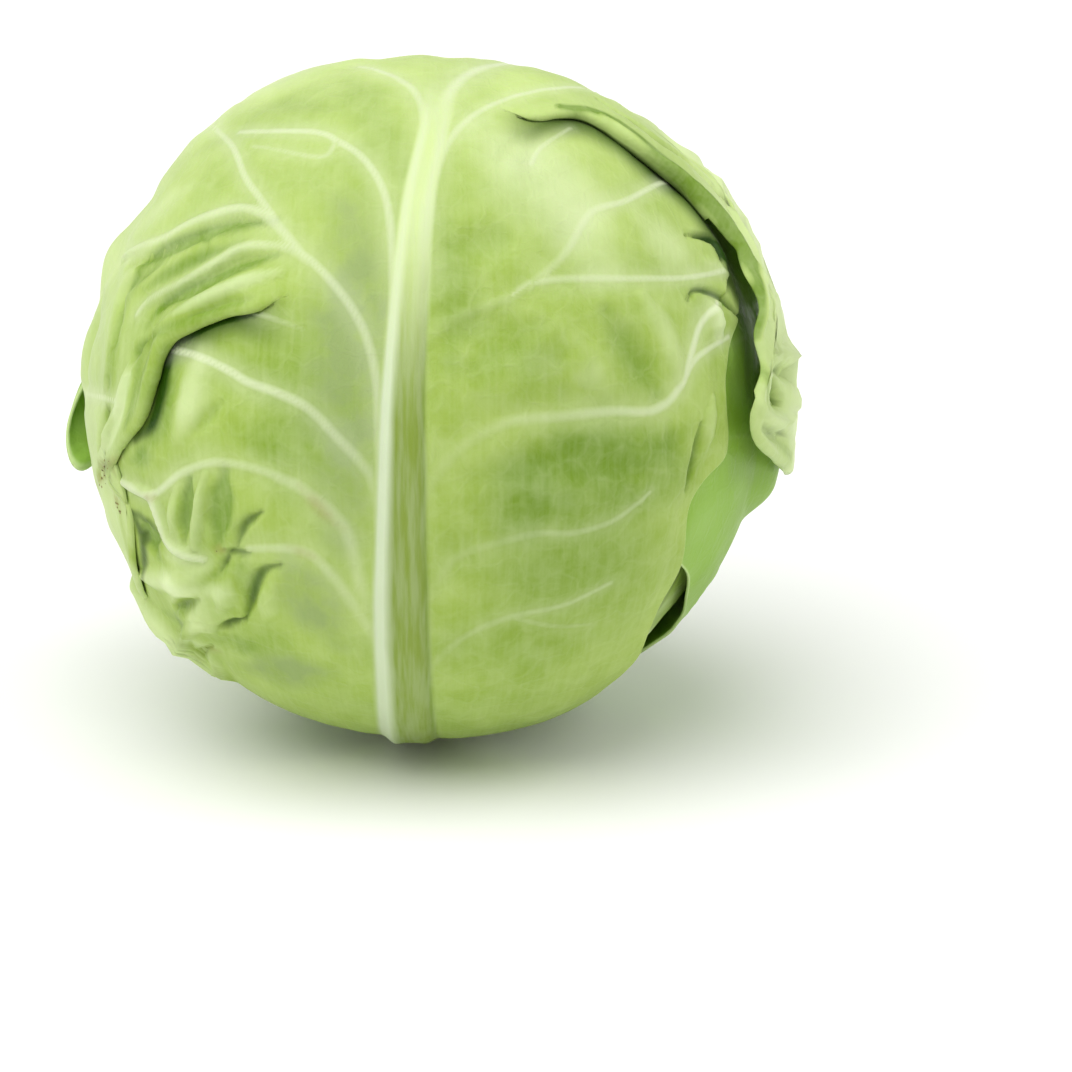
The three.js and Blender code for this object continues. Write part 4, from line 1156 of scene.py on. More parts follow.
def plug(tree, socket, value):
    if isinstance(value, bpy.types.NodeSocket):
        tree.links.new(value, socket)
    elif hasattr(value, "__len__") and len(value) == 3 and socket.type == "RGBA":
        socket.default_value = (*value, 1.0)
    else:
        socket.default_value = value


def maths(tree, operation, a, b=0.0, clamp=False):
    made = node(tree, "ShaderNodeMath", {0: a, 1: b}, operation=operation, use_clamp=clamp)
    return made.outputs[0]


def vector_maths(tree, operation, inputs):
    return node(tree, "ShaderNodeVectorMath", inputs, operation=operation).outputs[0]


def times(tree, a, b, clamp=False):
    return maths(tree, "MULTIPLY", a, b, clamp)


def blend(tree, factor, a, b):
    made = node(tree, "ShaderNodeMix", {0: factor, 6: a, 7: b}, data_type="RGBA")
    return made.outputs[2]


def tinted(tree, base, layers):
    """Base colour under layers of (mask, amount, colour)."""
    for mask, amount, colour in layers:
        base = blend(tree, times(tree, mask, amount, True), base, colour)
    return base


def spread(tree, value, low, high, to_low=0.0, to_high=1.0):
    made = node(tree, "ShaderNodeMapRange", {0: value, 1: low, 2: high, 3: to_low, 4: to_high},
                interpolation_type="SMOOTHSTEP")
    return made.outputs[0]


def field(tree, name):
    return node(tree, "ShaderNodeAttribute", attribute_name=name).outputs["Fac"]


def give_roughness(tree, skin, mask, low, high):
    plug(tree, skin.inputs["Roughness"], spread(tree, mask, 0.0, 1.0, low, high))


def give_bump(tree, skin, height, strength, distance):
    made = node(tree, "ShaderNodeBump", {"Height": height, "Strength": strength, "Distance": distance})
    plug(tree, skin.inputs["Normal"], made.outputs[0])


def group_tree(name, inputs, outputs):
    """Empty shader node group with named sockets: {name: (type, default)}."""
    tree = bpy.data.node_groups.new(name, "ShaderNodeTree")
    for label, (kind, default) in inputs.items():
        socket = tree.interface.new_socket(name=label, in_out="INPUT", socket_type=kind)
        socket.default_value = default
    for label, kind in outputs.items():
        tree.interface.new_socket(name=label, in_out="OUTPUT", socket_type=kind)
    return tree, tree.nodes.new("NodeGroupInput"), tree.nodes.new("NodeGroupOutput")


def place_group(tree, name, **values):
    made = node(tree, "ShaderNodeGroup", node_tree=bpy.data.node_groups[name])
    for label, value in values.items():
        plug(tree, made.inputs[label.replace("_", " ")], value)
    return made


def build_vein_net():
    """Net of small veins: two sizes of cells with warped edges."""
    tree, start, end = group_tree(
        "Vein net", {"Cell size": ("NodeSocketFloat", 0.009), "Fine size": ("NodeSocketFloat", 0.0032)},
        {"Net": "NodeSocketFloat", "Fine": "NodeSocketFloat", "Height": "NodeSocketFloat"})
    place = node(tree, "ShaderNodeTexCoord").outputs["Object"]
    warp = node(tree, "ShaderNodeTexNoise", {"Vector": place, "Scale": 120.0, "Detail": 2.0})
    centred = vector_maths(tree, "SUBTRACT", {0: warp.outputs["Color"], 1: (0.5, 0.5, 0.5)})
    shift = vector_maths(tree, "SCALE", {0: centred, "Scale": 0.007})
    moved = vector_maths(tree, "ADD", {0: place, 1: shift})
    lines = []
    for size, low, high in (("Cell size", 0.015, 0.11), ("Fine size", 0.02, 0.16)):
        density = maths(tree, "DIVIDE", 1.0, start.outputs[size])
        cells = node(tree, "ShaderNodeTexVoronoi", {"Vector": moved, "Scale": density, "Randomness": 0.9},
                     feature="DISTANCE_TO_EDGE")
        lines.append(spread(tree, cells.outputs["Distance"], low, high, 1.0, 0.0))
    height = maths(tree, "ADD", lines[0], times(tree, lines[1], 0.4))
    for label, value in zip(("Net", "Fine", "Height"), (*lines, height)):
        plug(tree, end.inputs[label], value)


def build_mottle():
    """Uneven tone at two sizes, and grain."""
    tree, start, end = group_tree(
        "Mottle", {"Size": ("NodeSocketFloat", 0.03), "Seed": ("NodeSocketFloat", 0.0)},
        {"Broad": "NodeSocketFloat", "Small": "NodeSocketFloat", "Grain": "NodeSocketFloat"})
    place = node(tree, "ShaderNodeTexCoord").outputs["Object"]
    density = maths(tree, "DIVIDE", 1.0, start.outputs["Size"])
    for label, factor, detail in (("Broad", 1.0, 3.0), ("Small", 4.5, 4.0), ("Grain", 60.0, 2.0)):
        cloud = node(tree, "ShaderNodeTexNoise", {
            "Vector": place, "W": start.outputs["Seed"], "Scale": times(tree, density, factor),
            "Detail": detail}, noise_dimensions="4D")
        plug(tree, end.inputs[label], spread(tree, cloud.outputs[0], 0.3, 0.7))


def build_fibre():
    """Fine streaks that run along the leaf."""
    tree, start, end = group_tree(
        "Fibre", {"Across": ("NodeSocketFloat", 260.0), "Along": ("NodeSocketFloat", 18.0)},
        {"Streak": "NodeSocketFloat"})
    place = node(tree, "ShaderNodeUVMap", uv_map="leaf_map").outputs[0]
    parts = node(tree, "ShaderNodeSeparateXYZ", {0: place})
    across = times(tree, parts.outputs[0], start.outputs["Across"])
    along = times(tree, parts.outputs[1], start.outputs["Along"])
    spot = node(tree, "ShaderNodeCombineXYZ", {0: across, 1: along})
    cloud = node(tree, "ShaderNodeTexNoise", {"Vector": spot.outputs[0], "Scale": 1.0, "Detail": 3.0})
    plug(tree, end.inputs["Streak"], spread(tree, cloud.outputs[0], 0.3, 0.7))


def build_shared_groups():
    for name, build in (("Vein net", build_vein_net), ("Mottle", build_mottle), ("Fibre", build_fibre)):
        if name not in bpy.data.node_groups:
            build()


def new_material(name):
    material = bpy.data.materials.new(name)
    material.use_nodes = True
    tree = material.node_tree
    return material, tree, tree.nodes["Principled BSDF"]


def rib_colour(tree, across, row, colours):
    """Across the midrib: pale strand, green band and painted shadow along its right edge low down, pale
    strands at both sides higher up.
    """
    place = node(tree, "ShaderNodeMapRange", {0: across, 1: -1.2, 2: 1.2}).outputs[0]
    low = node(tree, "ShaderNodeValToRGB", {0: place})
    set_ramp(low, ((0.02, colours["rib_side"]), (0.12, colours["rib_pale"]), (0.24, colours["rib_pale"]),
                   (0.40, colours["rib_green"]), (0.82, colours["rib_green"]),
                   (0.90, colours["rib_edge_shadow"]), (0.99, colours["rib_side"])))
    high = node(tree, "ShaderNodeValToRGB", {0: place})
    set_ramp(high, ((0.0, colours["rib_mid"]), (0.22, colours["rib_high"]), (0.42, colours["rib_mid"]),
                    (0.58, colours["rib_mid"]), (0.78, colours["rib_high"]), (1.0, colours["rib_mid"])))
    return blend(tree, spread(tree, row, -0.05, 0.35), low.outputs[0], high.outputs[0])


def set_ramp(ramp_node, stops):
    ramp = ramp_node.color_ramp
    while len(ramp.elements) < len(stops):
        ramp.elements.new(0.5)
    for element, (place, colour) in zip(ramp.elements, stops):
        element.position = place
        element.color = (*colour, 1.0)


def blade_colour(tree, colours, mottle, net, streak):
    """Mottled green blade with deeper and paler places that are partly painted shade and light, vein net,
    bloom, painted shade in creases and pale veins.
    """
    tone, vein = field(tree, "tone"), field(tree, "vein")
    deep, light = colours["blade_deep"], colours["blade_light"]
    bloom = times(tree, field(tree, "bloom"), maths(tree, "ADD", mottle["Small"], 0.5), True)
    line = spread(tree, vein, 0.0, 1.8, 0.85, 0.0)
    halo = spread(tree, vein, 0.5, 5.0, 0.26, 0.0)
    blade = blend(tree, spread(tree, field(tree, "row"), 0.1, 0.95), colours["blade"], colours["blade_top"])
    return bloom, vein, tinted(tree, blade, (
        # tone: painted shade and light, partly the blade's own tone
        (tone, TONE_SHARE, deep),
        (tone, -TONE_SHARE, light),
        (mottle["Broad"], 0.34, deep),
        (mottle["Small"], 0.16, light),
        (streak, 0.07, light),
        (net["Net"], 0.045, light),
        (net["Fine"], 0.025, light),
        (bloom, BLOOM_SHARE, colours["bloom"]),
        # painted shade in creases, under the folded rims and in gaps
        (field(tree, "shade"), CREASE_SHARE, colours["painted_shade"]),
        (maths(tree, "MAXIMUM", line, halo), field(tree, "pale"), colours["vein_pale"]),
    ))


def leaf_skin(name, colours, seed):
    """Waxy leaf skin: blade, banded midrib, pale margin and brownish stains."""
    material, tree, skin = new_material(name)
    mottle = place_group(tree, "Mottle", Size=0.034, Seed=seed).outputs
    net = place_group(tree, "Vein net", Cell_size=0.0085, Fine_size=0.003).outputs
    streak = place_group(tree, "Fibre", Across=240.0, Along=20.0).outputs["Streak"]
    bloom, vein, blade = blade_colour(tree, colours, mottle, net, streak)
    across = field(tree, "across")
    rib_mask = spread(tree, maths(tree, "ABSOLUTE", across), 0.85, 1.25, 1.0, 0.0)
    rib_mask = times(tree, rib_mask, field(tree, "ribbed"))
    rib = rib_colour(tree, across, field(tree, "row"), colours)
    rib = blend(tree, times(tree, streak, 0.22), rib, colours["rib_pale"])
    edge = spread(tree, field(tree, "margin"), 0.4, 2.2, 0.55, 0.0)
    blade = tinted(tree, blade, ((rib_mask, 1.0, rib), (edge, 1.0, colours["edge"]),
                                 (field(tree, "rust"), mottle["Small"], colours["rust"])))
    plug(tree, skin.inputs["Base Color"], blade)
    rough = spread(tree, mottle["Small"], 0.0, 1.0, 0.40, 0.52)
    plug(tree, skin.inputs["Roughness"], maths(tree, "ADD", rough, times(tree, bloom, 0.15)))
    give_bump(tree, skin, leaf_relief(tree, mottle, net, streak, vein, rib_mask), 0.6, 0.0009)
    for socket, value in LEAF_SHADER.items():
        skin.inputs[socket].default_value = value
    return material


def leaf_relief(tree, mottle, net, streak, vein, rib_mask):
    """Height of relief finer than the mesh: vein shoulders, vein net, fibre and grain."""
    ridge = spread(tree, vein, 0.0, 1.3, 1.0, 0.0)
    off_rib = maths(tree, "SUBTRACT", 1.0, rib_mask)
    fine = times(tree, net["Height"], times(tree, off_rib, 0.10))
    height = maths(tree, "ADD", times(tree, ridge, 0.12), fine)
    for mask, amount in ((streak, 0.06), (mottle["Grain"], 0.03)):
        height = maths(tree, "ADD", height, times(tree, mask, amount))
    return height


def heart_material(looks):
    """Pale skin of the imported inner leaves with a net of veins."""
    material, tree, skin = new_material("heart_skin")
    mottle = place_group(tree, "Mottle", Size=0.03, Seed=9.0)
    net = place_group(tree, "Vein net", Cell_size=0.01, Fine_size=0.0035)
    tone = blend(tree, mottle.outputs["Broad"], tuple(looks.blade_light), tuple(looks.pith))
    tone = blend(tree, times(tree, net.outputs["Net"], 0.4), tone, tuple(looks.vein))
    plug(tree, skin.inputs["Base Color"], tone)
    give_roughness(tree, skin, mottle.outputs["Small"], 0.4, 0.55)
    give_bump(tree, skin, net.outputs["Height"], 0.3, 0.0005)
    return material


def cork_material(colours):
    """Dry corky scab, dark brown with pale cracks."""
    material, tree, skin = new_material("cork")
    mottle = place_group(tree, "Mottle", Size=0.002, Seed=4.0)
    tone = blend(tree, mottle.outputs["Broad"], colours["cork_dark"], colours["cork_light"])
    plug(tree, skin.inputs["Base Color"], tone)
    give_roughness(tree, skin, mottle.outputs["Small"], 0.7, 0.95)
    give_bump(tree, skin, mottle.outputs["Small"], 0.5, 0.0002)
    return material


def stalk_material(colours):
    """Stalk flesh: pale pith, greener rind, drying brown on the cut face, fine fibres."""
    material, tree, skin = new_material("stalk_flesh")
    mottle = place_group(tree, "Mottle", Size=0.006, Seed=2.0)
    place = node(tree, "ShaderNodeSeparateXYZ", {0: node(tree, "ShaderNodeTexCoord").outputs["Object"]})
    x, y, z = place.outputs
    square = maths(tree, "ADD", times(tree, x, x), times(tree, y, y))
    radius = maths(tree, "SQRT", square)
    rind = spread(tree, radius, 0.0125, 0.0158)
    ring = times(tree, spread(tree, radius, 0.0085, 0.0105), spread(tree, radius, 0.0108, 0.0125, 1.0, 0.0))
    cut = spread(tree, z, 0.0002, 0.0012, 1.0, 0.0)
    flesh = tinted(tree, blend(tree, rind, colours["pith"], colours["rind"]), (
        (ring, 0.5, colours["rind"]),
        (times(tree, cut, mottle.outputs["Broad"]), 0.55, colours["dry_cut"]),
        (mottle.outputs["Small"], 0.18, colours["pith"]),
    ))
    plug(tree, skin.inputs["Base Color"], flesh)
    give_roughness(tree, skin, mottle.outputs["Small"], 0.55, 0.8)
    saw = node(tree, "ShaderNodeTexWave", {"Scale": 160.0, "Distortion": 3.0, "Detail": 2.0})
    height = maths(tree, "ADD", times(tree, saw.outputs["Fac"], 0.3), mottle.outputs["Small"])
    give_bump(tree, skin, height, 0.4, 0.0003)
    skin.inputs["Subsurface Weight"].default_value = 0.15
    skin.inputs["Subsurface Scale"].default_value = 0.002
    return material


def bundle_material(colours):
    """Woody bundles that show as dots on the cut stalk."""
    material, tree, skin = new_material("bundles")
    mottle = place_group(tree, "Mottle", Size=0.001, Seed=7.0)
    tone = blend(tree, mottle.outputs["Broad"], colours["dry_cut"], colours["rind"])
    plug(tree, skin.inputs["Base Color"], tone)
    give_roughness(tree, skin, mottle.outputs["Small"], 0.6, 0.8)
    return material


def floor_material(colour):
    """Plain pale matt floor."""
    material, tree, skin = new_material("pale_floor")
    plug(tree, skin.inputs["Base Color"], colour)
    skin.inputs["Roughness"].default_value = 0.9
    skin.inputs["Specular IOR Level"].default_value = 0.1
    return material


def between(colour, other, share):
    return tuple(mix(a, b, share) for a, b in zip(colour, other))


def leaf_colours(looks, fresh_backlit=0.0):
    """Colours of a leaf, shifted by a share towards the bright green of the leaves behind, partly painted
    light through the leaf.
    """
    own = ("blade", "blade_top", "blade_deep", "blade_light", "bloom", "painted_shade", "rust")
    base = {key: tuple(getattr(looks, key)) for key in own}
    base.update({
        "vein_pale": tuple(looks.vein),
        "rib_pale": tuple(looks.rib_strand),
        "rib_green": tuple(looks.rib_band),
        "rib_high": between(looks.vein, looks.blade_top, 0.4),
        "rib_mid": between(looks.vein, looks.blade_top, 0.75),
        # painted shadow along the right edge of the midrib
        "rib_edge_shadow": between(looks.blade, looks.painted_shade, 0.45),
        "rib_side": tuple(looks.blade),
        "edge": tuple(looks.blade_light),
    })
    for key in ("blade", "blade_top", "blade_light", "rib_side", "rib_green"):
        base[key] = between(base[key], looks.blade_fresh_backlit, fresh_backlit)
    return base


# Geometry node trees

def geometry_tree(name, inputs):
    """Empty geometry node tree with named inputs: {name: (type, default)}."""
    tree = bpy.data.node_groups.new(name, "GeometryNodeTree")
    tree.interface.new_socket(name="Geometry", in_out="INPUT", socket_type="NodeSocketGeometry")
    for label, (kind, default) in inputs.items():
        socket = tree.interface.new_socket(name=label, in_out="INPUT", socket_type=kind)
        if default is not None:
            socket.default_value = default
    tree.interface.new_socket(name="Geometry", in_out="OUTPUT", socket_type="NodeSocketGeometry")
    return tree, tree.nodes.new("NodeGroupInput"), tree.nodes.new("NodeGroupOutput")


def finish_tree(tree, instances, start, end):
    real = node(tree, "GeometryNodeRealizeInstances", {"Geometry": instances})
    dressed = node(tree, "GeometryNodeSetMaterial", {
        "Geometry": real.outputs[0], "Material": start.outputs["Material"]})
    tree.links.new(dressed.outputs[0], end.inputs[0])


def random_size(tree, start, low, high, socket):
    """Size input times a random share."""
    share = node(tree, "FunctionNodeRandomValue", {2: low, 3: high, "Seed": start.outputs["Seed"]},
                 data_type="FLOAT")
    return times(tree, share.outputs[1], start.outputs[socket])


def speck_tree():
    """Small flat scabs strewn where the corky field of the leaf is high."""
    tree, start, end = geometry_tree("Corky specks", {
        "Density": ("NodeSocketFloat", 1.0e6), "Speck size": ("NodeSocketFloat", 0.0004),
        "Seed": ("NodeSocketInt", 3), "Material": ("NodeSocketMaterial", None)})
    cork = node(tree, "GeometryNodeInputNamedAttribute", {"Name": "cork"}, data_type="FLOAT")
    inside = node(tree, "GeometryNodeInputNamedAttribute", {"Name": "inside"}, data_type="FLOAT")
    outside = maths(tree, "LESS_THAN", inside.outputs[0], 0.5)
    wanted = times(tree, cork.outputs[0], outside)
    density = times(tree, wanted, start.outputs["Density"])
    points = node(tree, "GeometryNodeDistributePointsOnFaces", {
        "Mesh": start.outputs["Geometry"], "Density": density, "Seed": start.outputs["Seed"]})
    scab = node(tree, "GeometryNodeMeshIcoSphere", {"Radius": 1.0, "Subdivisions": 2})
    flat = node(tree, "GeometryNodeTransform", {"Geometry": scab.outputs[0], "Scale": (1.0, 0.75, 0.35)})
    scale = random_size(tree, start, 0.4, 1.3, "Speck size")
    strewn = node(tree, "GeometryNodeInstanceOnPoints", {
        "Points": points.outputs["Points"], "Instance": flat.outputs[0],
        "Rotation": points.outputs["Rotation"], "Scale": scale})
    finish_tree(tree, strewn.outputs[0], start, end)
    return tree


def bundle_tree():
    """Ring of small woody dots set in the cut face of the stalk."""
    tree, start, end = geometry_tree("Stalk bundles", {
        "Count": ("NodeSocketInt", 26), "Ring radius": ("NodeSocketFloat", 0.0104),
        "Dot size": ("NodeSocketFloat", 0.0005), "Seed": ("NodeSocketInt", 5),
        "Material": ("NodeSocketMaterial", None)})
    ring = node(tree, "GeometryNodeMeshCircle", {
        "Vertices": start.outputs["Count"], "Radius": start.outputs["Ring radius"]})
    low, high = ((reach, reach, BUNDLE_RAISE) for reach in (-BUNDLE_STRAY, BUNDLE_STRAY))
    stray = node(tree, "FunctionNodeRandomValue", {0: low, 1: high, "Seed": start.outputs["Seed"]},
                 data_type="FLOAT_VECTOR")
    moved = node(tree, "GeometryNodeSetPosition", {"Geometry": ring.outputs[0], "Offset": stray.outputs[0]})
    points = node(tree, "GeometryNodeMeshToPoints", {"Mesh": moved.outputs[0]})
    dot = node(tree, "GeometryNodeMeshIcoSphere", {"Radius": 1.0, "Subdivisions": 2})
    flat = node(tree, "GeometryNodeTransform", {"Geometry": dot.outputs[0], "Scale": (1.0, 1.0, 0.2)})
    scale = random_size(tree, start, 0.6, 1.2, "Dot size")
    dots = node(tree, "GeometryNodeInstanceOnPoints", {
        "Points": points.outputs[0], "Instance": flat.outputs[0], "Scale": scale})
    finish_tree(tree, dots.outputs[0], start, end)
    return tree


def grown(name, source_mesh, tree, values):
    """Plain mesh object from a geometry node tree run on a mesh."""
    obj = placed(name, source_mesh)
    modifier = obj.modifiers.new(name, "NODES")
    modifier.node_group = tree
    for item in tree.interface.items_tree:
        if item.in_out == "INPUT" and item.name in values:
            modifier[item.identifier] = values[item.name]
    view = bpy.context.evaluated_depsgraph_get()
    done = obj.evaluated_get(view)
    mesh = bpy.data.meshes.new_from_object(done, preserve_all_data_layers=True, depsgraph=view)
    obj.modifiers.remove(modifier)
    if len(mesh.polygons) == 0:
        raise RuntimeError(name + " came out empty")
    obj.data = mesh
    obj.data.name = name
    return obj


# Heart and stalk meshes

def closed_turning(name, rings):
    """Closed round mesh from rings of points, bottom to top, with both ends capped by a point."""
    sectors = len(rings[0])
    spots = [tuple(np.mean(rings[0], axis=0))] + [tuple(p) for ring in rings for p in ring]
    spots.append(tuple(np.mean(rings[-1], axis=0)))
    top = len(spots) - 1
    faces = []
    last = 1 + (len(rings) - 1) * sectors
    for j in range(sectors):
        k = (j + 1) % sectors
        faces.append((0, 1 + k, 1 + j))
        faces.append((top, last + j, last + k))
        for i in range(len(rings) - 1):
            a, b = 1 + i * sectors, 1 + (i + 1) * sectors
            faces.append((a + j, a + k, b + k, b + j))
    mesh = bpy.data.meshes.new(name)
    mesh.from_pydata(spots, [], faces)
    mesh.polygons.foreach_set("use_smooth", np.ones(len(faces), bool))
    mesh.validate()
    mesh.update()
    return placed(name, mesh)


def heart_rings():
    """Packed inner leaves: a ball with the low steps of overlapping margins spiralling round it."""
    rings = []
    turns = np.linspace(0, 2 * math.pi, HEART_SECTORS, endpoint=False)
    for polar in np.linspace(HEART_POLE, math.pi - HEART_POLE, HEART_RINGS):
        ways = np.stack([np.sin(polar) * np.sin(turns), -np.sin(polar) * np.cos(turns),
                         np.full(turns.shape, -math.cos(polar))], axis=-1)
        swirl = (turns / (2 * math.pi) * HEART_LEAVES + polar / math.pi * HEART_TWIST) % 1
        step = HEART_STEP * smooth(swirl / 0.9) * (1 - smooth((swirl - 0.93) / 0.06)) * math.sin(polar)
        radius = shell_radius(ways, HEART_DEPTH) + step - HEART_SINK
        rings.append((ways * radius[:, None] + (0, 0, HEAD_CENTRE_Z)) / 1000)
    return rings


def stalk_rings():
    """Short stub between the frame's own heights, a little uneven round its side, with a flat cut face."""
    low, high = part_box("stalk")
    radius = (high[0] - low[0]) / 2
    turns = np.linspace(0, 2 * math.pi, STALK_SECTORS, endpoint=False)
    ribs = 0.012 * np.sin(5 * turns + 0.6) + 0.008 * np.sin(11 * turns)
    rings = []
    for height, share in STALK_PROFILE:
        z = low[2] + (high[2] - low[2]) * height
        reach = radius * share * (1 + ribs * smooth(height / 0.2) - 0.02 * smooth(height / 0.2))
        level = np.full(turns.shape, z)
        rings.append(np.stack([reach * np.sin(turns), -reach * np.cos(turns), level], axis=-1))
    return rings


def dress(obj, material, node_name=None):
    """Give a piece its material and its body, and hide the node that it stands for, if any."""
    obj.data.materials.clear()
    obj.data.materials.append(material)
    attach(obj, "root")
    if node_name:
        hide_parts(node_name)


# Add-on classes

def size_property(name, description, default, low, high, unit="NONE"):
    return FloatProperty(name=name, description=description, default=default, min=low, max=high, unit=unit)


class CabbageSizes(bpy.types.PropertyGroup):
    """Relief of the leaves."""
    rib_height: size_property("Midrib height", "Share of the midrib's full height", 1.0, 0.2, 1.2)
    vein_height: size_property("Vein height", "Share of the side veins' full height", 0.7, 0.0, 1.5)
    crease_depth: size_property("Crease depth", "Share of the swells' and creases' height", 1.0, 0.0, 1.2)
    pillow: size_property("Pillow", "How far the blade swells between veins, in mm", 0.7, 0.0, 1.0)
    speck_size: size_property("Speck size", "Radius of a corky speck", 0.0004, 0.0, 0.01, "LENGTH")
    speck_seed: IntProperty(name="Speck seed", description="Draw of the corky specks", default=3)
    bundle_count: IntProperty(name="Bundle count", description="Woody dots on the cut stalk", default=26,
                              min=8, max=60)


def colour_property(name, description, rgb):
    return FloatVectorProperty(name=name, description=description, subtype="COLOR", size=3,
                               min=0.0, max=1.0, default=linear(*rgb))


class CabbageLooks(bpy.types.PropertyGroup):
    """Colours of the leaves, stalk and stage."""
    blade: colour_property("Blade", "Leaf blade in the lower half", (160, 186, 78))
    blade_top: colour_property("Blade top", "Leaf blade towards the tip", (202, 224, 138))
    blade_deep: colour_property("Blade deep", "Deeper patches of the blade", (110, 144, 26))
    blade_light: colour_property("Blade light", "Lighter patches and vein net", (218, 234, 174))
    # Bright green of the leaves behind: fresh green, partly painted light shining through the leaf
    blade_fresh_backlit: colour_property("Blade fresh", "Blade of the leaves behind", (136, 190, 42))
    # Painted shade: deep green laid into creases, under the folded rims and in gaps
    bloom: colour_property("Bloom", "Waxy bloom", (142, 162, 104))
    painted_shade: colour_property("Crease", "Blade deep inside creases", (40, 72, 6))
    vein: colour_property("Vein", "Pale side veins", (222, 232, 194))
    rib_strand: colour_property("Rib strand", "Pale strand of the midrib", (204, 217, 182))
    rib_band: colour_property("Rib band", "Green band of the midrib", (134, 156, 62))
    rust: colour_property("Rust", "Brownish stains by the veins", (150, 138, 70))
    pith: colour_property("Pith", "Pale flesh of the stalk", (232, 226, 190))
    rind: colour_property("Rind", "Green rind of the stalk", (176, 190, 120))
    dry_cut: colour_property("Dry cut", "Dried brown of the cut face", (176, 146, 98))
    cork_dark: colour_property("Cork dark", "Dark of the corky specks", (92, 84, 36))
    cork_light: colour_property("Cork light", "Light of the corky specks", (150, 140, 80))
    floor: colour_property("Floor", "Pale floor", (250, 250, 249))


class CABBAGE_OT_front_leaf(bpy.types.Operator):
    """Make the front leaf with its midrib, veins, two pleats and loose flap"""
    bl_idname = "cabbage.front_leaf"
    bl_label = "Front leaf"

    def execute(self, context):
        build_shared_groups()
        fields = front_fields(context.scene.cabbage_sizes)
        leaf = blade_mesh("front_leaf", FRONT_LEAF, fields)
        skin = leaf_skin("front_leaf_skin", leaf_colours(context.scene.cabbage_looks), 1.0)
        dress(leaf, skin, "leaf_1")
        return {"FINISHED"}


class CABBAGE_OT_wrapper_leaves(bpy.types.Operator):
    """Make the four wrapper leaves behind the front leaf"""
    bl_idname = "cabbage.wrapper_leaves"
    bl_label = "Wrapper leaves"

    def execute(self, context):
        build_shared_groups()
        sizes, looks = context.scene.cabbage_sizes, context.scene.cabbage_looks
        # Last in each plan: share of the bright green, partly painted light shining through the leaf
        plan = ((LEAF_TWO, 0.8, "leaf_wrap", 0.65), (LEAF_THREE, 0.9, "leaf_wrap", 0.4),
                (LEAF_FOUR, 1.4, "leaf_wrap", 0.2), (LEAF_FIVE, 1.8, "leaf_inner", 0.0))
        for leaf, step, slot, fresh_backlit in plan:
            name = f"wrapper_leaf_{leaf.number}"
            piece = blade_mesh(name, leaf, wrap_fields(leaf, step, sizes))
            skin = leaf_skin(name + "_skin", leaf_colours(looks, fresh_backlit), float(leaf.number * 3))
            dress(piece, skin, f"leaf_{leaf.number}")
        return {"FINISHED"}


class CABBAGE_OT_heart(bpy.types.Operator):
    """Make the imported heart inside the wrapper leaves"""
    bl_idname = "cabbage.heart"
    bl_label = "Heart"

    def execute(self, context):
        build_shared_groups()
        heart = closed_turning("packed_heart", heart_rings())
        dress(heart, heart_material(context.scene.cabbage_looks), "heart")
        return {"FINISHED"}


class CABBAGE_OT_stalk(bpy.types.Operator):
    """Make the cut stalk and the woody dots on its face"""
    bl_idname = "cabbage.stalk"
    bl_label = "Stalk"

    def execute(self, context):
        build_shared_groups()
        looks = context.scene.cabbage_looks
        colours = {key: tuple(getattr(looks, key)) for key in ("pith", "rind", "dry_cut")}
        stalk = closed_turning("cut_stalk", stalk_rings())
        dress(stalk, stalk_material(colours), "stalk")
        material = bundle_material(colours)
        values = {"Count": context.scene.cabbage_sizes.bundle_count, "Material": material}
        dots = grown("stalk_bundles", bpy.data.meshes.new("stalk_bundles_seed"), bundle_tree(), values)
        dress(dots, material)
        return {"FINISHED"}


class CABBAGE_OT_specks(bpy.types.Operator):
    """Strew corky specks on the damaged places of the front leaf"""
    bl_idname = "cabbage.specks"
    bl_label = "Corky specks"

    def execute(self, context):
        build_shared_groups()
        sizes, looks = context.scene.cabbage_sizes, context.scene.cabbage_looks
        colours = {key: tuple(getattr(looks, key)) for key in ("cork_dark", "cork_light")}
        material = cork_material(colours)
        values = {"Speck size": sizes.speck_size, "Seed": sizes.speck_seed, "Material": material}
        specks = grown("corky_specks", bpy.data.objects["front_leaf"].data.copy(), speck_tree(), values)
        dress(specks, material)
        return {"FINISHED"}


class CABBAGE_OT_stage(bpy.types.Operator):
    """Make the pale floor, the soft lights and the camera"""
    bl_idname = "cabbage.stage"
    bl_label = "Stage"

    def execute(self, context):
        looks = context.scene.cabbage_looks
        mesh = bpy.data.meshes.new("floor")
        corners = [(FLOOR_REACH * x, FLOOR_REACH * y, 0) for x, y in ((-1, -1), (1, -1), (1, 1), (-1, 1))]
        mesh.from_pydata(corners, [], [(0, 1, 2, 3)])
        floor = placed("floor", mesh)
        floor.data.materials.append(floor_material(tuple(looks.floor)))
        make_world(context.scene)
        centre = Vector((0, 0, HEAD_CENTRE_Z / 1000))
        make_sky_light()
        for name, place, size, power in SOFT_LIGHTS:
            make_light(name, Vector(place), centre, size, power)
        make_camera(context.scene, centre)
        return {"FINISHED"}


def make_world(scene):
    world = bpy.data.worlds.new("soft_white")
    world.use_nodes = True
    background = world.node_tree.nodes["Background"]
    background.inputs["Color"].default_value = (1, 1, 1, 1)
    background.inputs["Strength"].default_value = WORLD_STRENGTH
    scene.world = world
    scene.view_settings.view_transform = "Standard"


def aimed(name, data, place, way):
    """Object of a light or camera at a place, looking along a way."""
    obj = placed(name, data)
    obj.location = place
    obj.rotation_euler = way.to_track_quat("-Z", "Y").to_euler()
    return obj


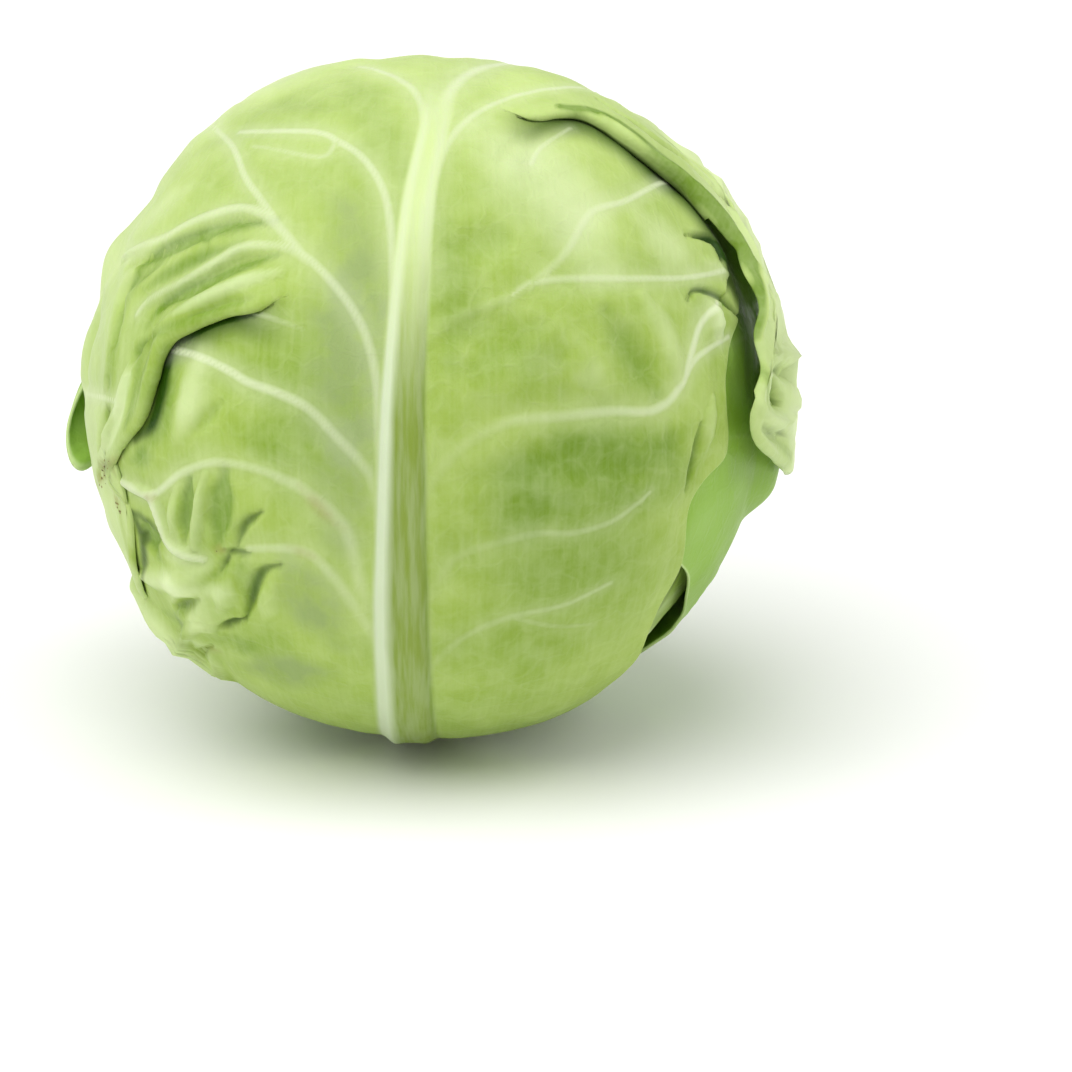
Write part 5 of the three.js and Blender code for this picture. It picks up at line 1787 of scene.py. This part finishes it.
def make_sky_light():
    lamp = bpy.data.lights.new("sky_light", "SUN")
    lamp.energy = SKY_LIGHT_STRENGTH
    lamp.angle = math.radians(SKY_LIGHT_SOFTNESS)
    aimed("sky_light", lamp, SKY_LIGHT_FROM, -Vector(SKY_LIGHT_FROM))


def make_light(name, place, target, size, power):
    lamp = bpy.data.lights.new(name, "AREA")
    lamp.shape = "DISK"
    lamp.size = size
    lamp.energy = power
    aimed(name, lamp, place, target - place)


def make_camera(scene, centre):
    camera = bpy.data.cameras.new("camera")
    camera.lens = CAMERA_LENS
    camera.sensor_width = SENSOR_WIDTH
    tilt = math.radians(CAMERA_ELEVATION)
    back = Vector((0, -math.cos(tilt), math.sin(tilt)))
    up = Vector((0, math.sin(tilt), math.cos(tilt)))
    aim = centre + Vector((AIM_RIGHT, 0, 0)) - up * AIM_DOWN
    scene.camera = aimed("camera", camera, aim + back * CAMERA_DISTANCE, -back)


class CABBAGE_PT_panel(bpy.types.Panel):
    bl_label = "Cabbage head"
    bl_idname = "CABBAGE_PT_panel"
    bl_space_type = "VIEW_3D"
    bl_region_type = "UI"
    bl_category = "Cabbage"

    def draw(self, context):
        column = self.layout.column()
        for group in (context.scene.cabbage_sizes, context.scene.cabbage_looks):
            for key in group.bl_rna.properties.keys():
                if key not in ("rna_type", "name"):
                    column.prop(group, key)
        for operator in OPERATORS:
            column.operator(operator.bl_idname)


OPERATORS = (CABBAGE_OT_front_leaf, CABBAGE_OT_wrapper_leaves, CABBAGE_OT_heart, CABBAGE_OT_stalk,
             CABBAGE_OT_specks, CABBAGE_OT_stage)
CLASSES = (CabbageSizes, CabbageLooks, *OPERATORS, CABBAGE_PT_panel)


def register():
    for cls in CLASSES:
        bpy.utils.register_class(cls)
    bpy.types.Scene.cabbage_sizes = PointerProperty(type=CabbageSizes)
    bpy.types.Scene.cabbage_looks = PointerProperty(type=CabbageLooks)


def unregister():
    del bpy.types.Scene.cabbage_looks
    del bpy.types.Scene.cabbage_sizes
    for cls in reversed(CLASSES):
        bpy.utils.unregister_class(cls)


def plain(box):
    return [[float(value) for value in corner] for corner in box]


def main():
    register()
    bpy.ops.cabbage.front_leaf()
    bpy.ops.cabbage.wrapper_leaves()
    bpy.ops.cabbage.heart()
    bpy.ops.cabbage.stalk()
    bpy.ops.cabbage.specks()
    bpy.ops.cabbage.stage()


if __name__ == "__main__":
    main()
